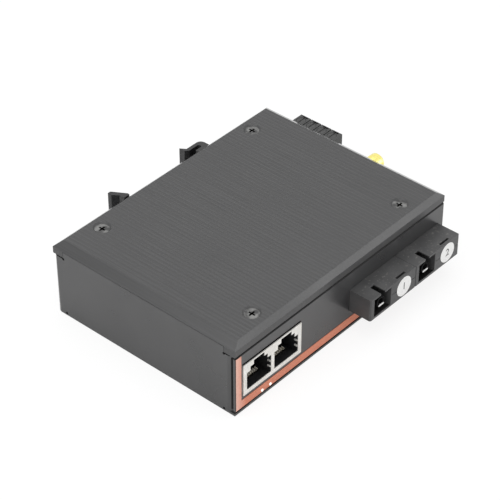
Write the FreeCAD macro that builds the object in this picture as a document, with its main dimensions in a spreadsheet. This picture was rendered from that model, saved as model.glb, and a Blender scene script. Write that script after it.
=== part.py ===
import FreeCAD, Part
import math
import os
import types

import Sketcher
from FreeCAD import Placement, Rotation, Vector

# DIN-rail media converter, lying on its side with the ribbed cover up.
# Lengths are millimetres. X runs along the front panel, Y from the front to the
# rail clip, Z up. The origin is the centre of the case's underside.

DRIVING_SIZES = {
    # case
    "case_length": 114.0,
    "case_depth": 85.0,
    "case_height": 31.0,
    "sheet_gauge": 0.9,
    "sheet_gap": 0.15,
    "bend_radius": 0.5,
    "lower_bend_radius": 0.15,
    "corner_bend_radius": 2.2,
    "corner_flange": 2.8,
    "corner_gap": 0.4,
    "seam_gap": 0.55,
    "panel_lift": 1.0,
    "floor_setback": 0.15,
    "floor_bump": 5.0,
    "panel_flange": 13.0,
    "floor_flange": 8.0,
    "flange_inset": 10.0,
    "floor_flange_inset": 22.0,
    "relief_diameter": 1.1,
    # cover
    "cover_plate": 2.5,
    "cover_lip": 1.6,
    "cover_skirt": 2.5,
    "cover_wrap": 4.8,
    "end_chamfer": 3.2,
    "side_chamfer": 1.6,
    "rear_chamfer": 2.4,
    "chamfer_drop": 2.3,
    "rib_pitch": 1.7,
    "rib_groove": 1.0,
    "rib_depth": 0.12,
    "boss_width": 8.0,
    # cover screws and their nuts
    "screw_span_x": 80.0,
    "screw_span_y": 70.0,
    "screw_diameter": 3.0,
    "screw_head": 5.6,
    "screw_length": 6.5,
    "screw_sink": 0.6,
    "screw_clearance": 0.2,
    "thread_clearance": 0.05,
    "recess_span": 2.8,
    "recess_width": 0.7,
    "recess_depth": 1.3,
    "nut_width": 5.5,
    "nut_height": 1.0,
    # circuit board
    "board_bottom": 5.4,
    "board_gauge": 1.6,
    "board_margin_left": 3.5,
    "board_margin_right": 2.5,
    "board_margin_front": 3.2,
    "board_margin_rear": 4.0,
    "board_hole_span": 76.0,
    "board_hole_front": 34.5,
    "board_hole_rear": 73.5,
    "standoff_width": 5.5,
    "board_screw_head": 5.5,
    "board_screw_head_height": 2.0,
    "board_screw_length": 5.0,
    "pin_clearance": 0.1,
    # components on the board
    "transformer_length": 12.8,
    "transformer_width": 8.5,
    "transformer_height": 6.5,
    "transformer_gap": 1.5,
    "chip_from_left": 49.0,
    "chip_from_front": 48.5,
    "chip_width": 14.0,
    "chip_height": 1.4,
    "chip_leg_gauge": 0.3,
    "chip_leg_pitch": 1.2,
    "chip_leg_reach": 1.4,
    "crystal_from_left": 30.0,
    "crystal_length": 11.0,
    "crystal_width": 4.6,
    "crystal_height": 3.5,
    "supply_from_left": 79.0,
    "supply_from_front": 54.0,
    "inductor_diameter": 10.0,
    "inductor_height": 5.0,
    "capacitor_diameter": 8.0,
    "capacitor_height": 11.5,
    "capacitor_spacing": 9.5,
    "capacitor_setback": 13.3,
    # twin copper jack
    "jack_left": 3.75,
    "jack_width": 29.85,
    "jack_height": 13.3,
    "jack_depth": 21.0,
    "jack_proud": 0.5,
    "jack_shell": 0.3,
    "jack_clearance": 0.05,
    "jack_port_pitch": 14.0,
    "jack_port_width": 12.0,
    "jack_port_floor": 1.7,
    "jack_port_height": 7.3,
    "jack_port_depth": 13.0,
    "jack_step_width": 8.4,
    "jack_step_height": 1.8,
    "jack_notch_width": 5.0,
    "jack_notch_height": 1.7,
    "jack_window_margin": 0.2,
    "contact_pitch": 1.02,
    "contact_width": 0.45,
    "contact_gauge": 0.35,
    "contact_start": 3.2,
    "contact_reach": 7.5,
    "contact_rise": 2.2,
    # fibre transceivers
    "fibre_left": 60.2,
    "fibre_width": 25.4,
    "fibre_height": 9.4,
    "fibre_gap": 0.05,
    "fibre_lift": 1.4,
    "fibre_proud": 9.5,
    "fibre_length": 39.5,
    "fibre_bevel": 0.5,
    "fibre_port_offset": 6.8,
    "fibre_port_width": 9.3,
    "fibre_port_height": 7.6,
    "fibre_port_depth": 14.0,
    "fibre_key_width": 2.2,
    "fibre_key_length": 5.2,
    "fibre_slot_offset": 18.2,
    "fibre_slot_length": 4.9,
    "fibre_slot_width": 0.9,
    "fibre_slot_depth": 1.6,
    "fibre_slot_setback": 0.9,
    "fibre_seam": 0.25,
    "sleeve_diameter": 4.4,
    "sleeve_bore": 2.5,
    "sleeve_setback": 1.0,
    "sticker_offset": 18.8,
    "sticker_diameter": 8.0,
    "sticker_gauge": 0.1,
    "pin_pitch": 2.54,
    "pin_width": 0.5,
    "pin_setback": 2.5,
    "pin_tail": 1.2,
    # label and indicators
    "label_gauge": 0.15,
    "label_margin": 0.35,
    "label_strip": 2.7,
    "label_band": 3.2,
    "label_end": 2.0,
    "lamp_first": 13.6,
    "lamp_pitch": 4.2,
    "lamp_height": 2.85,
    "lamp_diameter": 1.1,
    "lamp_length": 5.0,
    "lamp_proud": 0.3,
    # terminal header and plug
    "pole_pitch": 5.08,
    "terminal_from_front": 67.5,
    "header_depth": 12.0,
    "header_height": 8.6,
    "header_wall": 0.9,
    "header_cavity": 8.8,
    "header_proud": 0.4,
    "header_pin": 1.0,
    "header_pin_height": 4.3,
    "header_pin_setback": 1.2,
    "plug_gap": 0.4,
    "plug_depth": 11.4,
    "plug_height": 15.3,
    "plug_lift": 0.2,
    "plug_nose": 8.4,
    "plug_nose_margin": 0.25,
    "plug_rib": 0.4,
    "clamp_setback": 3.2,
    "clamp_outer": 3.8,
    "clamp_window": 2.8,
    "clamp_window_height": 4.0,
    "clamp_floor": 0.6,
    "clamp_roof": 1.8,
    "clamp_travel": 1.5,
    "clamp_clearance": 0.1,
    "clamp_bridge": 1.5,
    "clamp_screw": 2.5,
    "clamp_screw_head": 3.6,
    "clamp_screw_head_height": 1.4,
    "clamp_slot": 0.7,
    "clamp_slot_depth": 0.8,
    "wire_entry": 3.6,
    "strip_width": 1.8,
    "strip_gauge": 0.4,
    # earth post
    "earth_from_front": 37.95,
    "earth_below_top": 10.05,
    "earth_stud": 4.0,
    "earth_stud_length": 9.3,
    "earth_stud_tail": 1.0,
    "earth_flange": 7.0,
    "earth_nut_width": 7.0,
    "earth_nut_height": 2.4,
    "earth_thumb": 6.6,
    "earth_thumb_length": 5.5,
    "earth_collar": 5.8,
    "earth_bevel": 1.0,
    # rail clip
    "rail_from_left": 61.2,
    "rail_width": 35.0,
    "rail_gauge": 1.0,
    "clip_width": 16.0,
    "clip_seat": 4.5,
    "clip_left": 26.0,
    "clip_right": 92.0,
    "hook_arm": 1.6,
    "hook_outer": 9.6,
    "hook_slot": 1.6,
    "hook_reach": 1.2,
    "hook_slot_end": 5.5,
    "hook_back": 2.6,
    "hook_round": 2.3,
    "hook_flare": 2.3,
    "hook_pad_setback": 2.0,
    "latch_travel": 4.5,
    "latch_gauge": 2.2,
    "latch_clearance": 0.15,
    "latch_tongue_width": 10.0,
    "latch_leg": 2.0,
    "latch_root": 2.4,
    "latch_catch": 0.9,
    "latch_outer": 12.4,
    "latch_lip": 1.8,
    "latch_lip_width": 1.3,
    "latch_round": 0.6,
    "latch_flare": 3.5,
    "latch_tab": 9.5,
    "latch_tab_width": 12.0,
    "latch_tab_gap": 0.6,
    "latch_tab_slot": 1.8,
    "clip_foot": 2.0,
    "tunnel_floor": 1.0,
    "tunnel_end": 4.0,
    "spring_window": 10.0,
    "spring_window_width": 3.2,
    "spring_window_inset": 2.7,
    "spring_peg": 1.5,
    "spring_strip": 0.35,
    "spring_height": 1.8,
    "spring_width": 2.6,
    "clip_screw_near": 5.0,
    "clip_screw_far": 9.0,
    "clip_screw_length": 7.5,
}

# How many there are of what repeats.
POLES = 4
CONTACTS = 8
FIBRE_PINS = 9
CHIP_LEGS = 11
LAMPS = 2
SPRING_FOLDS = 6

doc = FreeCAD.newDocument("MediaConverter")
sheet = doc.addObject("Spreadsheet::Sheet", "Sizes")
for row, (alias, number) in enumerate(DRIVING_SIZES.items(), start=1):
    sheet.set(f"A{row}", alias)
    sheet.set(f"B{row}", str(number))
    sheet.setAlias(f"B{row}", alias)
doc.recompute()


class Size:
    """A length that carries its number and the sheet formula that it follows."""

    def __init__(self, number, formula):
        self.number = number
        self.formula = formula

    def __add__(self, other):
        other = as_size(other)
        return Size(self.number + other.number, f"({self.formula} + {other.formula})")

    def __sub__(self, other):
        other = as_size(other)
        return Size(self.number - other.number, f"({self.formula} - {other.formula})")

    def __mul__(self, factor):
        factor = as_size(factor)
        return Size(self.number * factor.number, f"({self.formula} * {factor.formula})")

    def __truediv__(self, divisor):
        divisor = as_size(divisor)
        return Size(self.number / divisor.number, f"({self.formula} / {divisor.formula})")

    def __neg__(self):
        return Size(-self.number, f"(0 - {self.formula})")


def as_size(value):
    return value if isinstance(value, Size) else Size(float(value), repr(float(value)))


S = types.SimpleNamespace(
    **{alias: Size(float(sheet.get(alias)), f"Sizes.{alias}") for alias in DRIVING_SIZES}
)

left = -(S.case_length / 2)
right = S.case_length / 2
front = -(S.case_depth / 2)
rear = S.case_depth / 2
plate_underside = S.case_height - S.cover_plate
seam = plate_underside - S.cover_skirt
panel_top = seam - S.seam_gap
panel_bottom = S.sheet_gauge + S.panel_lift
board_top = S.board_bottom + S.board_gauge

NODES = {}


def node(thing, name):
    """Names a finished sub-part, which also names its file."""
    thing.Label = name
    NODES[name] = thing
    return thing


def bind(thing, **sizes):
    for prop, size in sizes.items():
        size = as_size(size)
        setattr(thing, prop, size.number)
        thing.setExpression(prop, size.formula)
    return thing


def place(thing, x=0, y=0, z=0, turn=None):
    base = [as_size(value) for value in (x, y, z)]
    thing.Placement = Placement(Vector(*(size.number for size in base)), turn or Rotation())
    for axis, size in zip("xyz", base):
        thing.setExpression(f"Placement.Base.{axis}", size.formula)
    return thing


# Sketches on a body's own origin planes. The sign is the way that the sketch's
# normal points along the world axis.
PLANES = {"XY": ("XY_Plane", 1), "XZ": ("XZ_Plane", -1), "YZ": ("YZ_Plane", 1)}


def new_body(name):
    body = doc.addObject("PartDesign::Body", f"{name}_body")
    body.AllowCompound = True
    return body


def origin_feature(body, role):
    return next(item for item in body.Origin.OriginFeatures if item.Role == role)


def new_sketch(body, plane, start):
    role, sign = PLANES[plane]
    start = as_size(start) * sign
    sketch = body.newObject("Sketcher::SketchObject", f"{body.Name}_sketch")
    sketch.AttachmentSupport = [(origin_feature(body, role), "")]
    sketch.MapMode = "FlatFace"
    sketch.AttachmentOffset = Placement(Vector(0, 0, start.number), Rotation())
    sketch.setExpression("AttachmentOffset.Base.z", start.formula)
    return sketch


def fix_point(sketch, geometry, point, x, y):
    for kind, size in (("DistanceX", as_size(x)), ("DistanceY", as_size(y))):
        rule = Sketcher.Constraint(kind, -1, 1, geometry, point, size.number)
        index = sketch.addConstraint(rule)
        sketch.setExpression(f"Constraints[{index}]", size.formula)


def draw_loop(sketch, corners):
    """A closed outline with every corner bound to the sheet."""
    corners = [(as_size(x), as_size(y)) for x, y in corners]
    first = sketch.GeometryCount
    for index, (x, y) in enumerate(corners):
        next_x, next_y = corners[(index + 1) % len(corners)]
        start = Vector(x.number, y.number, 0)
        sketch.addGeometry(Part.LineSegment(start, Vector(next_x.number, next_y.number, 0)))
    for index, (x, y) in enumerate(corners):
        following = first + (index + 1) % len(corners)
        sketch.addConstraint(Sketcher.Constraint("Coincident", first + index, 2, following, 1))
        fix_point(sketch, first + index, 1, x, y)


def draw_circle(sketch, x, y, diameter):
    x, y, diameter = as_size(x), as_size(y), as_size(diameter)
    centre = Vector(x.number, y.number, 0)
    circle = sketch.addGeometry(Part.Circle(centre, Vector(0, 0, 1), diameter.number / 2))
    fix_point(sketch, circle, 3, x, y)
    index = sketch.addConstraint(Sketcher.Constraint("Diameter", circle, diameter.number))
    sketch.setExpression(f"Constraints[{index}]", diameter.formula)


def box_loop(x0, x1, y0, y1):
    return [(x0, y0), (x1, y0), (x1, y1), (x0, y1)]


def square(x, y, width):
    return box_loop(x - width / 2, x + width / 2, y - width / 2, y + width / 2)


def draw(sketch, shapes):
    for shape in shapes:
        if isinstance(shape, list):
            draw_loop(sketch, shape)
        else:
            draw_circle(sketch, *shape)


def pad(body, plane, shapes, low, high):
    """Adds material between two world coordinates along the plane's normal."""
    sketch = new_sketch(body, plane, low)
    draw(sketch, shapes)
    feature = body.newObject("PartDesign::Pad", f"{body.Name}_pad")
    feature.Profile = sketch
    feature.Reversed = PLANES[plane][1] < 0
    return bind(feature, Length=as_size(high) - low)


CUTS = []


def cut(body, plane, shapes, low, high):
    """Removes material between two world coordinates along the plane's normal."""
    sketch = new_sketch(body, plane, low)
    draw(sketch, shapes)
    feature = body.newObject("PartDesign::Pocket", f"{body.Name}_pocket")
    feature.Profile = sketch
    feature.Reversed = PLANES[plane][1] > 0
    CUTS.append(feature)
    return bind(feature, Length=as_size(high) - low)


def revolve(body, corners):
    """Turns a half outline, radius against height, about the body's own Z axis."""
    sketch = new_sketch(body, "XZ", 0)
    draw_loop(sketch, corners)
    feature = body.newObject("PartDesign::Revolution", f"{body.Name}_turned")
    feature.Profile = sketch
    feature.ReferenceAxis = (sketch, ["V_Axis"])
    feature.Angle = 360
    return feature


def row_of(body, feature, axis_role, pitch, count):
    """Repeats one feature at a pitch."""
    pattern = body.newObject("PartDesign::LinearPattern", f"{body.Name}_row")
    pattern.Originals = [feature]
    pattern.Direction = (origin_feature(body, axis_role), [""])
    bind(pattern, Length=pitch * (count - 1))
    pattern.Occurrences = count
    body.Tip = pattern
    return pattern


def lies_on(edge, **fixed):
    """True where both ends of a straight edge have the given coordinates."""
    tolerance = 0.01
    return all(
        abs(getattr(vertex.Point, axis) - as_size(value).number) < tolerance
        for vertex in edge.Vertexes
        for axis, value in fixed.items()
    )


def dress_edges(body, kind, size, places):
    """Fillets or chamfers the edges of the tip that lie on one of the places."""
    doc.recompute()
    tip = body.Tip
    names = [
        f"Edge{number}"
        for number, edge in enumerate(tip.Shape.Edges, start=1)
        if any(lies_on(edge, **fixed) for fixed in places)
    ]
    feature = body.newObject(f"PartDesign::{kind}", f"{body.Name}_{kind.lower()}")
    feature.Base = (tip, names)
    return bind(feature, **{"Radius" if kind == "Fillet" else "Size": size})


def rod(name, x, y, z, diameter, length, turn=None):
    cylinder = doc.addObject("Part::Cylinder", f"{name}_rod")
    bind(cylinder, Radius=as_size(diameter) / 2, Height=length)
    return place(cylinder, x, y, z, turn)


def group(name, members):
    compound = doc.addObject("Part::Compound", f"{name}_group")
    compound.Links = members
    return compound


def mirrored(source, normal):
    mirror = doc.addObject("Part::Mirroring", f"{source.Name}_mirror")
    mirror.Source = source
    mirror.Base = Vector(0, 0, 0)
    mirror.Normal = normal
    return mirror


def four_corners(name, source):
    """The source with its three mirror images about the two middle planes."""
    across = mirrored(source, Vector(1, 0, 0))
    back = mirrored(source, Vector(0, 1, 0))
    diagonal = mirrored(across, Vector(0, 1, 0))
    return group(name, [source, across, back, diagonal])


ALONG_Y = Rotation(Vector(1, 0, 0), -90)
ALONG_X = Rotation(Vector(0, 1, 0), 90)

# Half the width across a hexagon's points, for one unit across its flats.
HEX_POINT = 1 / math.sqrt(3)

# Case: the folded tray is the floor and both end walls, with a flange at each corner.
# The front panel stands before its flanges and the rear panel between them.


def end_wall(body, low_x):
    low_y = flange_front()
    notch = S.cover_wrap + S.sheet_gap
    shoulder = panel_top
    top = plate_underside - S.sheet_gap
    outline = [
        (low_y, 0),
        (rear, 0),
        (rear, shoulder),
        (rear - notch, shoulder),
        (rear - notch, top),
        (front + notch, top),
        (front + notch, shoulder),
        (low_y, shoulder),
    ]
    pad(body, "YZ", [outline], low_x, low_x + S.sheet_gauge)


def flange_front():
    return front + S.sheet_gauge + S.corner_gap


def corner_flanges(body):
    near_y = flange_front()
    for low_x, high_x in ((left, left + S.corner_flange), (right - S.corner_flange, right)):
        near = box_loop(low_x, high_x, near_y, near_y + S.sheet_gauge)
        far = box_loop(low_x, high_x, rear - S.sheet_gauge, rear)
        pad(body, "XY", [near, far], S.sheet_gauge / 2, panel_top)
    edges = [{"x": x, "y": y} for x in (left, right) for y in (near_y, rear)]
    dress_edges(body, "Fillet", S.corner_bend_radius, edges)


def make_tray():
    body = new_body("base_tray")
    floor = box_loop(left, right, front + S.floor_setback, rear)
    pad(body, "XY", [floor], 0, S.sheet_gauge)
    pad(body, "XY", floor_bumps(), S.sheet_gauge / 2, panel_bottom)
    end_wall(body, left)
    end_wall(body, right - S.sheet_gauge)
    corner_flanges(body)
    notch = S.cover_wrap + S.sheet_gap
    reliefs = [
        (y, z, S.relief_diameter)
        for y in (front + notch, rear - notch)
        for z in (S.sheet_gauge, panel_top)
    ]
    cut(body, "YZ", reliefs, left, left + S.sheet_gauge)
    cut(body, "YZ", reliefs, right - S.sheet_gauge, right)
    mouth_y = front + S.terminal_from_front
    half = header_half_width() + S.sheet_gap
    low, high = board_top - S.sheet_gap, board_top + S.header_height + S.sheet_gap
    mouth = box_loop(mouth_y - half, mouth_y + half, low, high)
    post = (*earth_spot(), S.earth_stud + S.screw_clearance * 2)
    cut(body, "YZ", [mouth, post], right - S.sheet_gauge, right)
    return node(body, "base_tray")


def floor_bumps():
    """Round bumps that hold the panels' lower flanges clear of the floor."""
    bump_x = S.case_length / 2 - S.floor_flange_inset - S.floor_bump
    bump_y = S.case_depth / 2 - S.floor_flange / 2
    return [(bump_x * across, bump_y * along, S.floor_bump)
            for across in (-1, 1) for along in (-1, 1)]


def header_half_width():
    return S.pole_pitch * (POLES / 2) + S.header_wall / 2


def make_panel(name, outer, inward, web_inset):
    """A front or rear panel: a web with a flange under the cover and one near the floor."""
    body = new_body(name)
    inner = outer + S.sheet_gauge * inward
    web_low, web_high = (outer, inner) if inward > 0 else (inner, outer)
    top = panel_top
    web = box_loop(left + web_inset, right - web_inset, panel_bottom, top)
    pad(body, "XZ", [web], web_low, web_high)
    for depth, low in ((S.panel_flange, top - S.sheet_gauge), (S.floor_flange, panel_bottom)):
        reach = outer + depth * inward
        inset = S.flange_inset if depth is S.panel_flange else S.floor_flange_inset
        near, far = (outer, reach) if inward > 0 else (reach, outer)
        flange = box_loop(left + inset, right - inset, near, far)
        pad(body, "XY", [flange], low, low + S.sheet_gauge)
    holes = [
        (S.screw_span_x / 2 * side, S.screw_span_y / 2 * -inward, hole_diameter())
        for side in (-1, 1)
    ]
    cut(body, "XY", holes, top - S.sheet_gauge, top)
    dress_edges(body, "Fillet", S.bend_radius, [{"y": outer, "z": top}])
    dress_edges(body, "Fillet", S.lower_bend_radius, [{"y": outer, "z": panel_bottom}])
    return body, web_low, web_high


def hole_diameter():
    return S.screw_diameter + S.screw_clearance * 2


def lamp_holes():
    bore = S.lamp_diameter + S.pin_clearance
    return [(lamp_x(index), S.lamp_height, bore) for index in range(LAMPS)]


def lamp_x(index):
    return left + S.lamp_first + S.lamp_pitch * index


def make_front_panel():
    body, low, high = make_panel("front_panel", front, 1, S.sheet_gap)
    gap = S.sheet_gap
    jack = box_loop(
        left + S.jack_left - gap,
        left + S.jack_left + S.jack_width + gap,
        board_top - gap,
        board_top + S.jack_height + gap,
    )
    fibre = box_loop(
        left + S.fibre_left - gap,
        left + S.fibre_left + S.fibre_width * 2 + gap,
        board_top + S.fibre_lift - gap,
        board_top + S.fibre_lift + S.fibre_height + gap,
    )
    cut(body, "XZ", [jack, fibre] + lamp_holes(), low, high)
    return node(body, "front_panel")


def make_rear_panel():
    body, low, high = make_panel("rear_panel", rear, -1, S.corner_flange + S.corner_gap)
    holes = [(x, clip_middle(), hole_diameter()) for x in clip_screw_places()]
    cut(body, "XZ", holes, low, high)
    return node(body, "rear_panel")


# Cover: a ribbed plate with chamfered edges, a lip front and rear that wraps the
# corners, and a boss under each screw.


def make_cover():
    body = new_body("top_cover")
    shoulder = S.case_height - S.chamfer_drop
    section = [
        (left, plate_underside),
        (right, plate_underside),
        (right, shoulder),
        (right - S.end_chamfer, S.case_height),
        (left + S.end_chamfer, S.case_height),
        (left, shoulder),
    ]
    pad(body, "XZ", [section], front, rear)
    lips = [
        box_loop(left, right, front, front + S.cover_lip),
        box_loop(left, right, rear - S.cover_lip, rear),
    ]
    pad(body, "XY", lips, seam, plate_underside)
    wraps = [
        box_loop(x, x + S.sheet_gauge, y, y + S.cover_wrap - S.cover_lip)
        for x in (left, right - S.sheet_gauge)
        for y in (front + S.cover_lip, rear - S.cover_wrap)
    ]
    pad(body, "XY", wraps, seam, plate_underside)
    bosses = [square(x, y, S.boss_width) for x, y in screw_places()]
    pad(body, "XY", bosses, panel_top, plate_underside)
    cut_ribs(body)
    for y, inner in ((front, front + S.side_chamfer), (rear, rear - S.rear_chamfer)):
        cut(body, "YZ", [[(y, shoulder), (inner, S.case_height), (y, S.case_height)]], left, right)
    doc.recompute()
    sink = new_sketch(body, "XY", S.case_height)
    for x, y in screw_places():
        draw_circle(sink, x, y, hole_diameter())
    hole = body.newObject("PartDesign::Hole", "cover_screw_holes")
    hole.Profile = sink
    hole.DepthType = "ThroughAll"
    hole.HoleCutType = "Countersink"
    hole.HoleCutCustomValues = True
    hole.HoleCutCountersinkAngle = 90
    bind(hole, Diameter=hole_diameter(), HoleCutDiameter=S.screw_head + S.screw_sink * 2)
    CUTS.append(hole)
    return node(body, "top_cover")


def cut_ribs(body):
    """V grooves from front to rear. The ribs are what stands between them."""
    room = (S.case_length - S.end_chamfer * 2) / S.rib_pitch
    count = math.floor(room.number)
    start = -(S.rib_pitch * ((count - 1) / 2)) - S.rib_groove / 2
    groove = [
        (start, S.case_height),
        (start + S.rib_groove / 2, S.case_height - S.rib_depth),
        (start + S.rib_groove, S.case_height),
    ]
    first = cut(body, "XZ", [groove], front, rear)
    row_of(body, first, "X_Axis", S.rib_pitch, count)


def screw_places():
    return [
        (S.screw_span_x / 2 * across, S.screw_span_y / 2 * along)
        for across in (-1, 1)
        for along in (-1, 1)
    ]


def flat_head_screw(name, length, head):
    """A countersunk cross-recess screw with its head's top at the body's own origin."""
    body = new_body(name)
    shank = S.screw_diameter / 2
    cone = head / 2 - shank
    outline = [(0, -length), (shank, -length), (shank, -cone), (head / 2, 0), (0, 0)]
    revolve(body, outline)
    arm, blade = S.recess_span / 2, S.recess_width / 2
    cross = [
        (-arm, -blade), (-blade, -blade), (-blade, -arm), (blade, -arm),
        (blade, -blade), (arm, -blade), (arm, blade), (blade, blade),
        (blade, arm), (-blade, arm), (-blade, blade), (-arm, blade),
    ]
    cut(body, "XY", [cross], -S.recess_depth, 0)
    return body


def make_cover_screws():
    screw = flat_head_screw("cover_screw", S.screw_length, S.screw_head)
    seat = S.case_height - S.screw_sink
    place(screw, -(S.screw_span_x / 2), -(S.screw_span_y / 2), seat)
    return node(four_corners("cover_screws", screw), "cover_screws")


def ring(name, outer, bore, height):
    body = new_body(name)
    profile = box_loop(bore / 2, outer / 2, 0, height)
    revolve(body, profile)
    return body


def hexagon(x, y, across):
    """The outline of a hexagon, given its width across the flats."""
    flat, point = across / 2, across * HEX_POINT
    return [
        (x + point, y), (x + point / 2, y + flat), (x - point / 2, y + flat),
        (x - point, y), (x - point / 2, y - flat), (x + point / 2, y - flat),
    ]


def hex_ring(name, across, bore, height):
    body = new_body(name)
    pad(body, "XY", [hexagon(as_size(0), as_size(0), across), (0, 0, bore)], 0, height)
    return body


def screw_thread():
    return S.screw_diameter + S.thread_clearance * 2


def make_cover_nuts():
    nut = hex_ring("cover_nut", S.nut_width, screw_thread(), S.nut_height)
    low = panel_top - S.sheet_gauge - S.nut_height
    place(nut, -(S.screw_span_x / 2), -(S.screw_span_y / 2), low)
    return node(four_corners("cover_nuts", nut), "cover_nuts")


# Circuit board with its stand-offs and screws.


def board_holes():
    return [
        (S.board_hole_span / 2 * side, front + y)
        for side in (-1, 1)
        for y in (S.board_hole_front, S.board_hole_rear)
    ]


def fibre_pin_places():
    y = front - S.fibre_proud + S.fibre_length - S.pin_setback
    middle = (FIBRE_PINS - 1) / 2
    return [
        (fibre_low_x(index) + S.fibre_width / 2 + S.pin_pitch * (step - middle), y)
        for index in range(2)
        for step in range(FIBRE_PINS)
    ]


def header_pin_places():
    x = right + S.header_proud - S.header_depth - S.header_pin / 2
    return [(x, pole_y(index)) for index in range(POLES)]


def pole_y(index):
    return front + S.terminal_from_front + S.pole_pitch * (index - (POLES - 1) / 2)


def make_board():
    body = new_body("circuit_board")
    outline = box_loop(
        left + S.board_margin_left,
        right - S.board_margin_right,
        front + S.board_margin_front,
        rear - S.board_margin_rear,
    )
    pad(body, "XY", [outline], S.board_bottom, board_top)
    holes = [(x, y, hole_diameter()) for x, y in board_holes()]
    holes += [square(x, y, S.pin_width + S.pin_clearance * 2) for x, y in fibre_pin_places()]
    holes += [square(x, y, S.header_pin + S.pin_clearance * 2) for x, y in header_pin_places()]
    cut(body, "XY", holes, S.board_bottom, board_top)
    return node(body, "circuit_board")


def make_standoffs():
    members = []
    for x, y in board_holes():
        post = hex_ring("board_standoff", S.standoff_width, screw_thread(), S.board_bottom - S.sheet_gauge)
        members.append(place(post, x, y, S.sheet_gauge))
    return node(group("board_standoffs", members), "board_standoffs")


def make_board_screws():
    members = []
    for x, y in board_holes():
        screw = new_body("board_screw")
        pad(screw, "XY", [(0, 0, S.screw_diameter)], -S.board_screw_length, 0)
        head = hexagon(as_size(0), as_size(0), S.board_screw_head)
        pad(screw, "XY", [head], 0, S.board_screw_head_height)
        members.append(place(screw, x, y, board_top))
    return node(group("board_screws", members), "board_screws")


# Components on the board. The transformers stand behind the copper ports.


def block(name, x, y, length, width, height):
    box = doc.addObject("Part::Box", f"{name}_block")
    bind(box, Length=length, Width=width, Height=height)
    return place(box, x - length / 2, y - width / 2, board_top)


def can(name, x, y, diameter, height):
    return rod(name, x, y, board_top, diameter, height)


def make_line_transformers():
    behind = front - S.jack_proud + S.jack_depth + S.transformer_gap
    y = behind + S.transformer_width / 2
    blocks = [
        block("line_transformer", x, y, S.transformer_length, S.transformer_width, S.transformer_height)
        for x in port_centres()
    ]
    return node(group("line_transformers", blocks), "line_transformers")


def make_switch_chip():
    """A square package with a row of legs along two sides."""
    body = new_body("switch_chip")
    x, y = left + S.chip_from_left, front + S.chip_from_front
    half = S.chip_width / 2
    low = board_top + S.chip_leg_gauge
    pad(body, "XY", [box_loop(x - half, x + half, y - half, y + half)], low, low + S.chip_height)
    reach = half + S.chip_leg_reach
    first = x - S.chip_leg_pitch * ((CHIP_LEGS - 1) / 2) - S.chip_leg_gauge / 2
    legs = box_loop(first, first + S.chip_leg_gauge, y - reach, y + reach)
    leg = pad(body, "XY", [legs], board_top, low)
    row_of(body, leg, "X_Axis", S.chip_leg_pitch, CHIP_LEGS)
    return node(body, "switch_chip")


def make_crystal():
    x, y = left + S.crystal_from_left, front + S.chip_from_front
    crystal = block("clock_crystal", x, y, S.crystal_length, S.crystal_width, S.crystal_height)
    return node(crystal, "clock_crystal")


def make_supply_parts():
    """The power inductor and two capacitors, between the chip and the terminals."""
    x, y = left + S.supply_from_left, front + S.supply_from_front
    inductor = can("power_inductor", x, y, S.inductor_diameter, S.inductor_height)
    node(inductor, "power_inductor")
    behind = y + S.capacitor_setback
    places = [x - S.capacitor_spacing / 2, x + S.capacitor_spacing / 2]
    capacitors = [
        can("supply_capacitor", spot, behind, S.capacitor_diameter, S.capacitor_height) for spot in places
    ]
    node(group("supply_capacitors", capacitors), "supply_capacitors")


# Twin copper jack: stepped ports in a plated shell over a moulded block.


def port_outline(centre, margin):
    """The stepped mouth of one port. A margin widens it on every side but the floor."""
    floor = board_top + S.jack_port_floor
    wide = S.jack_port_width / 2 + margin
    step = S.jack_step_width / 2 + margin
    notch = S.jack_notch_width / 2 + margin
    first = floor + S.jack_port_height + margin
    second = first + S.jack_step_height
    third = second + S.jack_notch_height
    return [
        (centre - wide, floor), (centre + wide, floor), (centre + wide, first),
        (centre + step, first), (centre + step, second), (centre + notch, second),
        (centre + notch, third), (centre - notch, third), (centre - notch, second),
        (centre - step, second), (centre - step, first), (centre - wide, first),
    ]


def port_centres():
    middle = left + S.jack_left + S.jack_width / 2
    return [middle - S.jack_port_pitch / 2, middle + S.jack_port_pitch / 2]


def make_jack_shield():
    body = new_body("jack_shield")
    low_x = left + S.jack_left
    high_x = low_x + S.jack_width
    mouth = front - S.jack_proud
    back = mouth + S.jack_depth
    pad(body, "XZ", [box_loop(low_x, high_x, board_top, board_top + S.jack_height)], mouth, back)
    inside = box_loop(
        low_x + S.jack_shell, high_x - S.jack_shell, board_top, board_top + S.jack_height - S.jack_shell
    )
    cut(body, "XZ", [inside], mouth + S.jack_shell, back - S.jack_shell)
    windows = [port_outline(centre, S.jack_window_margin) for centre in port_centres()]
    cut(body, "XZ", windows, mouth, mouth + S.jack_shell)
    return node(body, "jack_shield")


def make_jack_housing():
    body = new_body("jack_housing")
    skin = S.jack_shell + S.jack_clearance
    low_x = left + S.jack_left + skin
    high_x = left + S.jack_left + S.jack_width - skin
    mouth = front - S.jack_proud + skin
    back = front - S.jack_proud + S.jack_depth - skin
    pad(body, "XZ", [box_loop(low_x, high_x, board_top, board_top + S.jack_height - skin)], mouth, back)
    ports = [port_outline(centre, 0) for centre in port_centres()]
    cut(body, "XZ", ports, mouth, mouth + S.jack_port_depth)
    return node(body, "jack_housing")


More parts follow.
